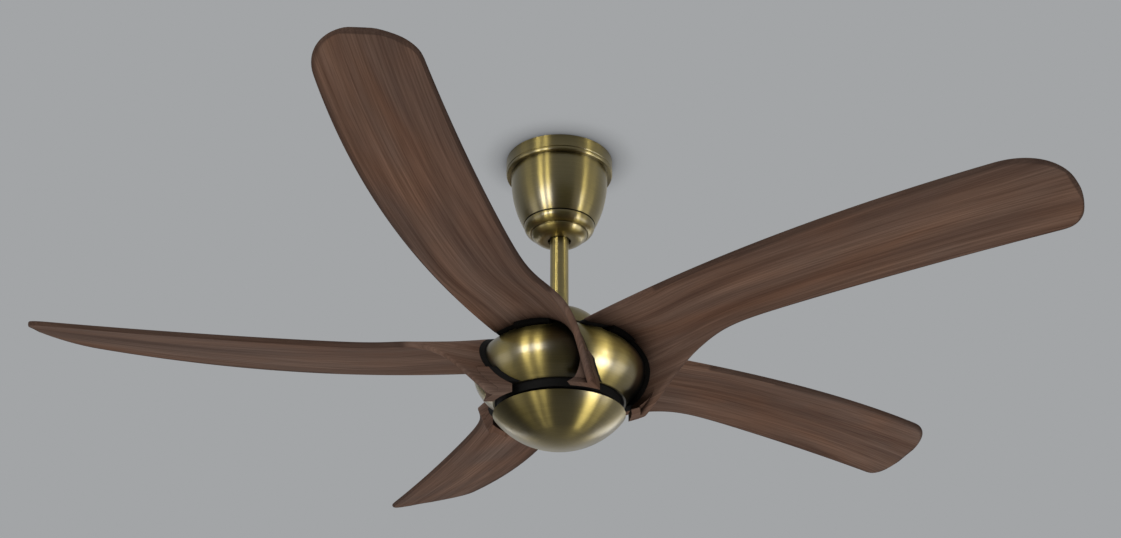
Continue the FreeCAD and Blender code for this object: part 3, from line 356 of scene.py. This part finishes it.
def blade_ring(blade, tip, x):
    """Closed thin section of the blade at x: points round its edge."""
    nose_steps = 5
    inner_steps = 22
    chord_steps = 40
    least_span = 1e-6
    widest_nose = 0.45
    poles = middle_curve(blade, x)
    lead_y = poles[0].y
    wide = poles[3].y - lead_y
    low, high = tip.sides(x)
    first = (low - lead_y) / wide
    last = (high - lead_y) / wide
    along = (x - blade.start) / (blade.reach - blade.start)
    half = (blade.root_thickness + (blade.tip_thickness - blade.root_thickness) * along) / 2
    left = min((blade.reach - x) / half, 1.0)
    half *= math.sqrt(1 - (1 - left) ** 2)
    stops = [first + (last - first) * i / chord_steps for i in range(chord_steps + 1)]
    chord = [on_curve(poles, t)[0] for t in stops]
    span = sum((b - a).length for a, b in zip(chord, chord[1:]))
    nose = min(half / max(span, least_span), widest_nose)
    places = []
    for i in range(nose_steps):
        angle = math.pi / 2 * i / nose_steps
        places.append((nose * (1 - math.cos(angle)), math.sin(angle)))
    for i in range(inner_steps + 1):
        places.append((nose + (1 - 2 * nose) * i / inner_steps, 1.0))
    places += [(1 - s, thick) for s, thick in reversed(places[:nose_steps])]
    upper = []
    lower = []
    for s, thick in places:
        point, way = on_curve(poles, first + (last - first) * s)
        normal = Vector((0, -way.z, way.y)) * (half * thick)
        upper.append(point + normal)
        lower.append(point - normal)
    return upper + lower[-2:0:-1]


def blade_sheet(blade):
    """Blade from end to end with round edges, before the housing is cut from it."""
    weld = 1e-6
    tip = TipOutline(blade)
    bm = bmesh.new()
    rings = [[bm.verts.new(p) for p in blade_ring(blade, tip, x)] for x in blade_stations(blade)]
    size = len(rings[0])
    for near, far in zip(rings, rings[1:]):
        for i in range(size):
            j = (i + 1) % size
            bm.faces.new((near[i], near[j], far[j], far[i]))
    bm.faces.new(rings[0])
    bm.faces.new(rings[-1])
    bmesh.ops.remove_doubles(bm, verts=bm.verts, dist=weld)
    return scratch_object("blade_sheet", bm)


def root_space(housing, gap):
    """Room the housing needs, grown by a gap, with a straight well below it."""
    wide = housing.radius + gap
    well = housing.mouth + gap
    steps = 48
    stop = math.pi - math.asin(well / wide)
    outline = [(0.0, housing.centre + housing.half_height + gap)]
    for i in range(1, steps + 1):
        angle = stop * i / steps
        tall = housing.half_height if angle < math.pi / 2 else housing.depth
        outline.append((wide * math.sin(angle), housing.centre + (tall + gap) * math.cos(angle)))
    outline.append((well, 2 * housing.centre))
    outline.append((0.0, 2 * housing.centre))
    return lathe_tool("root_space", outline)


def blade_foot(blade):
    """Flared lower end of the root flap with hollow sides, as a long slab."""
    neck = blade.root_thickness / 2
    flap_y = trail_edge(blade, blade.start)[0]
    low = blade.foot_bottom - blade.foot_thickness
    steps = 10
    steepness = math.log(blade.foot_hollow) / math.log(0.5)
    outline = []
    for side, reach in ((-1, blade.foot_left), (1, blade.foot_right)):
        flank = []
        for i in range(steps + 1):
            t = i / steps
            spread = neck + (reach - neck) * t ** steepness
            flank.append((flap_y + side * spread, blade.foot_top + (blade.foot_bottom - blade.foot_top) * t))
        flank.append((flap_y + side * reach, low))
        outline += flank if side < 0 else flank[::-1]
    bm = bmesh.new()
    near = [bm.verts.new((0, y, z)) for y, z in outline]
    far = [bm.verts.new((blade.waist, y, z)) for y, z in outline]
    bm.faces.new(near)
    bm.faces.new(far)
    for i in range(len(outline)):
        j = (i + 1) % len(outline)
        bm.faces.new((near[i], near[j], far[j], far[i]))
    return scratch_object("blade_foot", bm)


def tongue_box(blade):
    """Low and high corner of the blade's inner tongue."""
    low = Vector((blade.tongue_start, blade.tongue_low, blade.tongue_bottom))
    high = Vector((blade.tongue_end, blade.tongue_high, blade.tongue_bottom + blade.tongue_thickness))
    return low, high


def blade_solid(blade, housing):
    """Whole blade in its own frame: sheet, foot and tongue, cut clear of the housing."""
    piece = blade_sheet(blade)
    foot = blade_foot(blade)
    joined(foot, root_space(housing, blade.root_gap + blade.foot_thickness), "INTERSECT")
    joined(piece, foot, "UNION")
    wide = blade.reach
    floor = box_tool("below_foot", (-wide, -wide, 2 * blade.foot_bottom), (wide, wide, blade.foot_bottom))
    joined(piece, floor, "DIFFERENCE")
    joined(piece, root_space(housing, blade.root_gap), "DIFFERENCE")
    joined(piece, box_tool("tongue", *tongue_box(blade)), "UNION")
    return piece


def grain_place(blade, point):
    """Where a point lies in the wood: along, across and through the blade."""
    lead_y, lead_z = lead_edge(blade, point.x)
    trail_y, trail_z, _ = trail_edge(blade, point.x)
    fall = max(trail_z - point.z - blade.root_thickness, 0.0)
    across = point.y - (lead_y + trail_y) / 2 + fall
    return Vector((point.x, across, point.z - (lead_z + trail_z) / 2 + fall))


def near_rim(blade, tip, point):
    """1 for a point on the blade's long edges or round its tip, 0 for one further in."""
    if point.x < blade.flare_at:
        return 0.0
    low, high = tip.sides(min(point.x, blade.reach))
    inside = min(point.y - low, high - point.y, blade.reach - point.x)
    return 1.0 if inside < blade.dark_rim else 0.0


def on_tongue(blade, mesh, face):
    """1 for a face of the blade's bare tongue, 0 for one of its wooden surface."""
    slack = 1e-5
    low, high = tongue_box(blade)
    for index in face.vertices:
        for value, least, most in zip(mesh.vertices[index].co, low, high):
            if value < least - slack or value > most + slack:
                return 0.0
    return 1.0


def mark_blade(blade, mesh):
    """Store where each point lies in the wood, which faces are bare tongue and which points are dark rim."""
    tip = TipOutline(blade)
    places = [grain_place(blade, vert.co) for vert in mesh.vertices]
    tongue = [on_tongue(blade, mesh, face) for face in mesh.polygons]
    rim = [near_rim(blade, tip, vert.co) for vert in mesh.vertices]
    grain = mesh.attributes.new("grain", "FLOAT_VECTOR", "POINT")
    for entry, place in zip(grain.data, places):
        entry.vector = place
    mesh.attributes.new("tongue", "FLOAT", "FACE").data.foreach_set("value", tongue)
    mesh.attributes.new("rim", "FLOAT", "POINT").data.foreach_set("value", rim)


# Finishes

class Finish:
    """Material under way, with short ways to add its nodes."""

    def __init__(self, name):
        self.material = bpy.data.materials.new(name)
        self.material.use_nodes = True
        self.tree = self.material.node_tree
        self.shader = self.tree.nodes["Principled BSDF"]

    def node(self, kind, **values):
        """New node with its settings."""
        made = self.tree.nodes.new(kind)
        for key, value in values.items():
            setattr(made, key, value)
        return made

    def link(self, start, end):
        """Join an output to an input."""
        self.tree.links.new(start, end)

    def set(self, **values):
        """Plain values on the shader's own sockets."""
        for key, value in values.items():
            self.shader.inputs[key.replace("_", " ")].default_value = value

    def place(self):
        """Place on the object, in metres."""
        return self.node("ShaderNodeTexCoord").outputs["Object"]

    def scaled(self, vector, scale):
        """Vector stretched along its axes."""
        made = self.node("ShaderNodeMapping")
        made.inputs["Scale"].default_value = scale
        self.link(vector, made.inputs["Vector"])
        return made.outputs["Vector"]

    def noise(self, vector, scale, detail=4.0, roughness=0.5, distortion=0.0):
        """Soft random value from 0 to 1."""
        made = self.node("ShaderNodeTexNoise")
        self.link(vector, made.inputs["Vector"])
        made.inputs["Scale"].default_value = scale
        made.inputs["Detail"].default_value = detail
        made.inputs["Roughness"].default_value = roughness
        made.inputs["Distortion"].default_value = distortion
        return made.outputs["Fac"]

    def ramp(self, value, *stops):
        """Colours along a value: pairs of a place and a colour."""
        made = self.node("ShaderNodeValToRGB")
        marks = made.color_ramp.elements
        while len(marks) < len(stops):
            marks.new(0.5)
        for mark, (place, tone) in zip(marks, stops):
            mark.position = place
            mark.color = (*tone, 1.0)
        self.link(value, made.inputs["Fac"])
        return made.outputs["Color"]

    def mixed(self, value, first, second, blend="MIX"):
        """Two colours mixed by a value."""
        made = self.node("ShaderNodeMix", data_type="RGBA", blend_type=blend)
        if isinstance(value, float):
            made.inputs["Factor"].default_value = value
        else:
            self.link(value, made.inputs["Factor"])
        self.link(first, made.inputs["A"])
        if isinstance(second, tuple):
            made.inputs["B"].default_value = second
        else:
            self.link(second, made.inputs["B"])
        return made.outputs["Result"]

    def between(self, value, low, high, source=(0.3, 0.7)):
        """Value stretched from one range onto another."""
        made = self.node("ShaderNodeMapRange")
        self.link(value, made.inputs["Value"])
        made.inputs["From Min"].default_value = source[0]
        made.inputs["From Max"].default_value = source[1]
        made.inputs["To Min"].default_value = low
        made.inputs["To Max"].default_value = high
        return made.outputs["Result"]

    def painted_contact_shade(self, distance, dark):
        """Painted shade: a tone that falls to a dark share where another piece stands close, read from
        ambient occlusion.
        """
        near = self.node("ShaderNodeAmbientOcclusion", samples=8)
        near.inputs["Distance"].default_value = distance
        return self.ramp(near.outputs["AO"], (0.35, (dark, dark, dark)), (0.85, (1.0, 1.0, 1.0)))

    def relief(self, height, strength, depth):
        """Small relief from a height."""
        made = self.node("ShaderNodeBump")
        made.inputs["Strength"].default_value = strength
        made.inputs["Distance"].default_value = depth
        self.link(height, made.inputs["Height"])
        self.link(made.outputs["Normal"], self.shader.inputs["Normal"])


def brushing(finish):
    """Fine lines that run round the fan's axis, and the distance from it."""
    line_scale = (700.0, 700.0, 14.0)
    drift_scale = 9.0
    place = finish.place()
    parts = finish.node("ShaderNodeSeparateXYZ")
    finish.link(place, parts.inputs["Vector"])
    flat = finish.node("ShaderNodeCombineXYZ")
    finish.link(parts.outputs["X"], flat.inputs["X"])
    finish.link(parts.outputs["Y"], flat.inputs["Y"])
    radius = finish.node("ShaderNodeVectorMath", operation="LENGTH")
    finish.link(flat.outputs["Vector"], radius.inputs[0])
    lines = finish.node("ShaderNodeCombineXYZ")
    finish.link(radius.outputs["Value"], lines.inputs["X"])
    finish.link(parts.outputs["Z"], lines.inputs["Y"])
    drift = finish.noise(place, drift_scale, detail=2.0)
    finish.link(drift, lines.inputs["Z"])
    fine = finish.scaled(lines.outputs["Vector"], line_scale)
    return finish.noise(fine, 1.0, detail=5.0, roughness=0.65), radius.outputs["Value"]


def brass_finish(name, tones, lift=1.0, calm=0.05):
    """Lacquered spun brass with painted shade where other pieces stand close; lift paints it lighter as
    painted light, and its streaks fade inside the calm radius.
    """
    least_roughness = 0.32
    most_roughness = 0.43
    stretch = 0.99
    cloud_scale = 22.0
    cloud_share = 0.45
    worn_share = 0.82
    shade_reach = 0.035
    shade_tone = 0.2
    # A lift above 1 paints both brass tones lighter, as painted light.
    light = [lift * c for c in tones.brass]
    dark = [lift * c for c in tones.brass_dark]
    finish = Finish(name)
    lines, radius = brushing(finish)
    cloud = finish.noise(finish.place(), cloud_scale, detail=6.0, roughness=0.6)
    lined = finish.ramp(lines, (0.32, dark), (0.68, light))
    worn = finish.ramp(cloud, (0.35, light), (0.75, [worn_share * c for c in light]))
    # Painted shade: the brass's colour darkens where the blades, seals and other pieces stand close.
    shade = finish.painted_contact_shade(shade_reach, shade_tone)
    toned = finish.mixed(1.0, finish.mixed(cloud_share, lined, worn), shade, "MULTIPLY")
    finish.link(toned, finish.shader.inputs["Base Color"])
    finish.set(Metallic=1.0, Anisotropic_Rotation=0.25, Coat_Weight=0.85, Coat_Roughness=0.26, Coat_IOR=1.65)
    pull = finish.between(radius, 0.0, stretch, (0.0, calm))
    finish.link(pull, finish.shader.inputs["Anisotropic"])
    gloss = finish.between(lines, least_roughness, most_roughness)
    finish.link(gloss, finish.shader.inputs["Roughness"])
    tangent = finish.node("ShaderNodeTangent", direction_type="RADIAL", axis="Z")
    finish.link(tangent.outputs["Tangent"], finish.shader.inputs["Tangent"])
    finish.relief(lines, strength=0.06, depth=0.0002)
    return finish.material


def walnut_finish(tones):
    """Satin walnut with long grain along the blade and painted shade near the housing."""
    streak_scale = (1.5, 34.0, 34.0)
    fibre_scale = (7.0, 420.0, 160.0)
    figure_scale = (3.2, 11.0, 11.0)
    white = (1.0, 1.0, 1.0)
    shade_reach = 0.07
    shade_tone = 0.2
    finish = Finish("walnut")
    wood = finish.node("ShaderNodeAttribute", attribute_name="grain").outputs["Vector"]
    streak = finish.noise(finish.scaled(wood, streak_scale), 1.0, detail=7.0, roughness=0.62, distortion=0.5)
    fibre = finish.noise(finish.scaled(wood, fibre_scale), 1.0, detail=4.0, roughness=0.6)
    figure = finish.noise(finish.scaled(wood, figure_scale), 1.0, detail=3.0, roughness=0.5, distortion=1.2)
    grain = ((0.30, tones.walnut_dark), (0.50, tones.walnut_mid), (0.72, tones.walnut_light))
    base = finish.ramp(streak, *grain)
    pale = finish.ramp(fibre, (0.30, (0.62, 0.60, 0.58)), (0.62, white), (0.80, (1.18, 1.16, 1.14)))
    warm = finish.ramp(figure, (0.35, (0.92, 0.96, 1.0)), (0.70, (1.12, 1.0, 0.90)))
    toned = finish.mixed(1.0, base, pale, "MULTIPLY")
    # Painted shade: the wood darkens near the housing and wherever other pieces stand close to the blade.
    shaded = finish.mixed(1.0, toned, finish.painted_contact_shade(shade_reach, shade_tone), "MULTIPLY")
    wooden = finish.mixed(1.0, shaded, warm, "MULTIPLY")
    rim = finish.node("ShaderNodeAttribute", attribute_name="rim").outputs["Fac"]
    edged = finish.mixed(finish.between(rim, 0.0, 0.6, (0.0, 1.0)), wooden, (*tones.walnut_edge, 1.0))
    # The bare tongue is black; this black also continues the painted shade of the dark band round the blade
    # roots.
    bare = finish.node("ShaderNodeAttribute", attribute_name="tongue").outputs["Fac"]
    finish.link(finish.mixed(bare, edged, (*tones.seal_black, 1.0)), finish.shader.inputs["Base Color"])
    finish.link(finish.between(fibre, 0.62, 0.50), finish.shader.inputs["Roughness"])
    finish.set(Specular_IOR_Level=0.02)
    finish.relief(fibre, strength=0.18, depth=0.0003)
    return finish.material


def plain_finish(name, tone, metallic, roughness, grain, shine=0.5):
    """Simple finish with slight changes of tone, gloss and relief."""
    dark_share = 0.8
    light_share = 1.12
    speck_scale = 12.0 * grain
    finish = Finish(name)
    place = finish.place()
    cloud = finish.noise(place, grain, detail=5.0, roughness=0.6)
    speck = finish.noise(place, speck_scale, detail=2.0)
    dark = [dark_share * c for c in tone]
    light = [min(light_share * c, 1.0) for c in tone]
    finish.link(finish.ramp(cloud, (0.3, dark), (0.7, light)), finish.shader.inputs["Base Color"])
    finish.link(finish.between(speck, roughness - 0.06, roughness + 0.08), finish.shader.inputs["Roughness"])
    finish.set(Metallic=metallic, Specular_IOR_Level=shine)
    finish.relief(speck, strength=0.12, depth=0.0001)
    return finish.material


def dress(finish, *nodes):
    """Give CAD nodes a finish."""
    for name in nodes:
        slots = frame["nodes"][name].data.materials
        slots.clear()
        slots.append(finish)


def nodes_of(slot):
    """Nodes that the record gives a material slot."""
    return [part["node"] for part in frame["record"]["subparts"] if part["material_slot"] == slot]


# Operators

class FAN_OT_brass(Operator):
    """Brush and lacquer the brass pieces"""
    bl_idname = "fan.brass"
    bl_label = "Brass Pieces"

    def execute(self, context):
        tones = context.scene.fan_finish
        dress(brass_finish("antique_brass", tones), *nodes_of("antique_brass"))
        # The rod's brass is painted half again lighter, as painted light in place of the brighter light the
        # rod catches.
        dress(brass_finish("rod_brass_painted_lighter", tones, lift=1.5, calm=0.01), "downrod")
        return {"FINISHED"}


class FAN_OT_blades(Operator):
    """Build the walnut blades round the housing"""
    bl_idname = "fan.blades"
    bl_label = "Blades"

    def execute(self, context):
        blade = context.scene.fan_blade
        finish = walnut_finish(context.scene.fan_finish)
        pattern = blade_solid(blade, context.scene.fan_housing)
        mark_blade(blade, pattern.data)
        for i in range(blade.count):
            data = pattern.data.copy()
            data.name = "walnut_blade_%d" % (i + 1)
            shift = Vector([i * step for step in GRAIN_STEP])
            for entry in data.attributes["grain"].data:
                entry.vector = Vector(entry.vector) + shift
            turn = blade.heading + 2 * math.pi * i / blade.count
            data.transform(Matrix.Rotation(turn, 4, "Z"))
            data.shade_smooth()
            data.set_sharp_from_angle(angle=SHARP_ANGLE)
            new_piece(data.name, data, "rotor", finish, "walnut", "blade_%d" % (i + 1))
        bpy.data.objects.remove(pattern)
        return {"FINISHED"}


class FAN_OT_dark_trim(Operator):
    """Blacken the seals, the rod's grommet and the pan under the housing"""
    bl_idname = "fan.dark_trim"
    bl_label = "Dark Trim"

    def execute(self, context):
        black = context.scene.fan_finish.seal_black
        rubber = plain_finish("seal_rubber", black, metallic=0.0, roughness=0.70, grain=60.0, shine=0.10)
        enamel = plain_finish("pan_black", black, metallic=0.0, roughness=0.65, grain=40.0, shine=0.10)
        # Partly painted shade: the black seals fill the gap at the blade roots, and their black rubber also
        # stands in for the shade in that gap.
        dress(rubber, *nodes_of("black_seal"))
        dress(enamel, *nodes_of("black_pan"))
        return {"FINISHED"}


class FAN_OT_inner_parts(Operator):
    """Finish the motor, the bracket and the other inner parts"""
    bl_idname = "fan.inner_parts"
    bl_label = "Inner Parts"

    def execute(self, context):
        finishes = (
            # slot, tone, metallic, roughness, grain
            ("zinc_steel", (0.56, 0.57, 0.58), 1.0, 0.42, 35.0),
            ("screw_steel", (0.52, 0.52, 0.51), 1.0, 0.36, 120.0),
            ("bearing_steel", (0.66, 0.66, 0.67), 1.0, 0.16, 90.0),
            ("cage_brass", (0.52, 0.38, 0.13), 1.0, 0.34, 90.0),
            ("cast_aluminium", (0.60, 0.61, 0.62), 1.0, 0.50, 45.0),
            ("core_steel", (0.22, 0.22, 0.23), 1.0, 0.46, 60.0),
            ("winding_enamel", (0.45, 0.16, 0.05), 0.8, 0.34, 150.0),
            ("ferrite", (0.055, 0.055, 0.058), 0.0, 0.60, 80.0),
            ("ball_nylon", (0.030, 0.030, 0.031), 0.0, 0.48, 70.0),
            ("receiver_plastic", (0.62, 0.62, 0.60), 0.0, 0.44, 60.0),
            ("board_green", (0.020, 0.12, 0.050), 0.0, 0.38, 70.0),
            ("component_black", (0.030, 0.030, 0.036), 0.0, 0.34, 80.0),
        )
        for slot, tone, metallic, roughness, grain in finishes:
            dress(plain_finish(slot, tone, metallic, roughness, grain), *nodes_of(slot))
        return {"FINISHED"}


def flat_sheet(name, width, height, facing):
    """Square sheet at a height, facing up or down."""
    bm = bmesh.new()
    half = width / 2
    corners = [(-half, -half), (half, -half), (half, half), (-half, half)]
    verts = [bm.verts.new((x, y, height)) for x, y in corners]
    bm.faces.new(verts if facing > 0 else verts[::-1])
    data = bpy.data.meshes.new(name)
    bm.to_mesh(data)
    bm.free()
    sheet = bpy.data.objects.new(name, data)
    bpy.context.scene.collection.objects.link(sheet)
    return sheet


def glow(name, tone):
    """Even tone that takes no light, for what stands round the fan."""
    finish = Finish(name)
    light = finish.node("ShaderNodeEmission")
    light.inputs["Color"].default_value = (*tone, 1.0)
    finish.link(light.outputs["Emission"], finish.tree.nodes["Material Output"].inputs["Surface"])
    return finish, light


def seen_from_front(finish, light):
    """Clear back side, so that a sheet never hides the fan."""
    side = finish.node("ShaderNodeNewGeometry").outputs["Backfacing"]
    clear = finish.node("ShaderNodeBsdfTransparent")
    mix = finish.node("ShaderNodeMixShader")
    finish.link(side, mix.inputs["Fac"])
    finish.link(light.outputs["Emission"], mix.inputs[1])
    finish.link(clear.outputs["BSDF"], mix.inputs[2])
    finish.link(mix.outputs["Shader"], finish.tree.nodes["Material Output"].inputs["Surface"])
    return finish.material


def ceiling_paint(tone):
    """Even glowing tone with a painted shade close to the canopy."""
    shade_reach = 0.06
    shade_share = 0.30
    finish, light = glow("ceiling_paint", tone)
    near = finish.node("ShaderNodeAmbientOcclusion", samples=16)
    near.inputs["Distance"].default_value = shade_reach
    # Painted shade: the ceiling's glow falls to a dark share round the canopy, read from ambient occlusion.
    shade = finish.ramp(near.outputs["AO"], (0.45, [shade_share * c for c in tone]), (0.95, tone))
    finish.link(shade, light.inputs["Color"])
    return seen_from_front(finish, light)


def surround_light(low, high):
    """World that is darker below the fan than beside and above it."""
    darkest_at = -0.75
    lightest_at = 0.0
    world = bpy.data.worlds.new("surround")
    world.use_nodes = True
    world.cycles.sampling_method = "NONE"
    nodes = world.node_tree.nodes
    links = world.node_tree.links
    parts = nodes.new("ShaderNodeSeparateXYZ")
    links.new(nodes.new("ShaderNodeTexCoord").outputs["Generated"], parts.inputs["Vector"])
    level = nodes.new("ShaderNodeMapRange")
    level.inputs["From Min"].default_value = darkest_at
    level.inputs["From Max"].default_value = lightest_at
    links.new(parts.outputs["Z"], level.inputs["Value"])
    tone = nodes.new("ShaderNodeMix")
    tone.data_type = "RGBA"
    tone.inputs["A"].default_value = (*low, 1.0)
    tone.inputs["B"].default_value = (*high, 1.0)
    links.new(level.outputs["Result"], tone.inputs["Factor"])
    links.new(tone.outputs["Result"], nodes["Background"].inputs["Color"])
    return world


def round_fan(bearing, distance, height):
    """Place at a bearing from the camera's side."""
    angle = math.radians(bearing)
    return Vector((distance * math.sin(angle), -distance * math.cos(angle), height))


def window_pane(bearing, height, width, tallness, power):
    """Soft lamp that the brass mirrors as a streak."""
    name = "window_pane_%d" % round(bearing)
    lamp = bpy.data.lights.new(name, "AREA")
    lamp.shape = "RECTANGLE"
    lamp.size = width
    lamp.size_y = tallness
    lamp.energy = power
    pane = bpy.data.objects.new(name, lamp)
    pane.location = round_fan(bearing, PANE_DISTANCE, height)
    aim = Vector((0, 0, height)) - pane.location
    pane.rotation_euler = aim.to_track_quat("-Z", "Y").to_euler()
    pane.visible_camera = False
    pane.visible_diffuse = False
    bpy.context.scene.collection.objects.link(pane)


def soft_sun(name, direction, strength):
    """Wide even light from far away, which the brass doesn't mirror."""
    lamp = bpy.data.lights.new(name, "SUN")
    lamp.energy = strength
    lamp.angle = SUN_SPREAD
    sun = bpy.data.objects.new(name, lamp)
    sun.rotation_euler = Vector(direction).to_track_quat("-Z", "Y").to_euler()
    sun.visible_glossy = False
    bpy.context.scene.collection.objects.link(sun)


def dark_drape(bearing, tone):
    """Curved dark sheet that only the brass sees."""
    steps = 18
    bm = bmesh.new()
    pairs = []
    for i in range(steps + 1):
        angle = bearing + DRAPE_SPREAD * (2 * i / steps - 1)
        pairs.append([bm.verts.new(round_fan(angle, DRAPE_DISTANCE, level)) for level in DRAPE_LEVELS])
    for near, far in zip(pairs, pairs[1:]):
        bm.faces.new((near[0], far[0], far[1], near[1]))
    drape = scratch_object("dark_drape_%d" % round(bearing), bm)
    drape.data.materials.append(glow("drape", tone)[0].material)
    drape.visible_camera = False
    drape.visible_diffuse = False
    drape.visible_shadow = False


class FAN_OT_stage(Operator):
    """Set the ceiling, the floor, the lamps and the camera"""
    bl_idname = "fan.stage"
    bl_label = "Stage"

    def execute(self, context):
        scene = context.scene
        stage = scene.fan_stage
        ceiling = flat_sheet("stage_ceiling", stage.width, CEILING_HEIGHT, facing=-1)
        ceiling.data.materials.append(ceiling_paint(stage.ceiling))
        ceiling.visible_diffuse = False
        ceiling.visible_shadow = False
        floor = flat_sheet("stage_floor", stage.width, -stage.floor_drop, facing=1)
        floor.data.materials.append(seen_from_front(*glow("floor_paint", stage.floor)))
        floor.visible_diffuse = False
        floor.visible_glossy = False
        floor.visible_shadow = False
        scene.world = surround_light(stage.surround_low, stage.surround)
        for bearing in DRAPE_BEARINGS:
            dark_drape(bearing, stage.drape)
        for pane in PANES:
            window_pane(*pane)
        for sun in SUNS:
            soft_sun(*sun)
        camera = bpy.data.objects.new("camera", bpy.data.cameras.new("camera"))
        camera.data.sensor_width = 36.0
        camera.data.lens = stage.lens
        camera.location = stage.eye
        camera.rotation_euler = (math.pi / 2 + stage.pitch, 0.0, 0.0)
        scene.collection.objects.link(camera)
        scene.camera = camera
        scene.view_settings.view_transform = "Standard"
        return {"FINISHED"}


class FAN_PT_panel(Panel):
    """Sidebar panel that lists the fan's operators"""
    bl_idname = "FAN_PT_panel"
    bl_label = "Ceiling Fan"
    bl_space_type = "VIEW_3D"
    bl_region_type = "UI"
    bl_category = "Ceiling Fan"

    def draw(self, context):
        for operator in OPERATORS:
            self.layout.operator(operator.bl_idname)


GROUPS = {
    "fan_blade": FanBladeSizes,
    "fan_housing": FanHousingSizes,
    "fan_finish": FanFinish,
    "fan_stage": FanStage,
}
OPERATORS = (FAN_OT_brass, FAN_OT_blades, FAN_OT_dark_trim, FAN_OT_inner_parts, FAN_OT_stage)


def register():
    """Register the classes and hang the settings on the scene."""
    for kind in (*GROUPS.values(), *OPERATORS, FAN_PT_panel):
        bpy.utils.register_class(kind)
    for name, group in GROUPS.items():
        setattr(bpy.types.Scene, name, PointerProperty(type=group))


def unregister():
    """Take the settings and the classes away again."""
    for name in GROUPS:
        delattr(bpy.types.Scene, name)
    for kind in (FAN_PT_panel, *OPERATORS, *GROUPS.values()):
        bpy.utils.unregister_class(kind)


def main():
    """Build every piece in order."""
    register()
    bpy.ops.fan.brass()
    bpy.ops.fan.blades()
    bpy.ops.fan.dark_trim()
    bpy.ops.fan.inner_parts()
    bpy.ops.fan.stage()


if __name__ == "__main__":
    main()
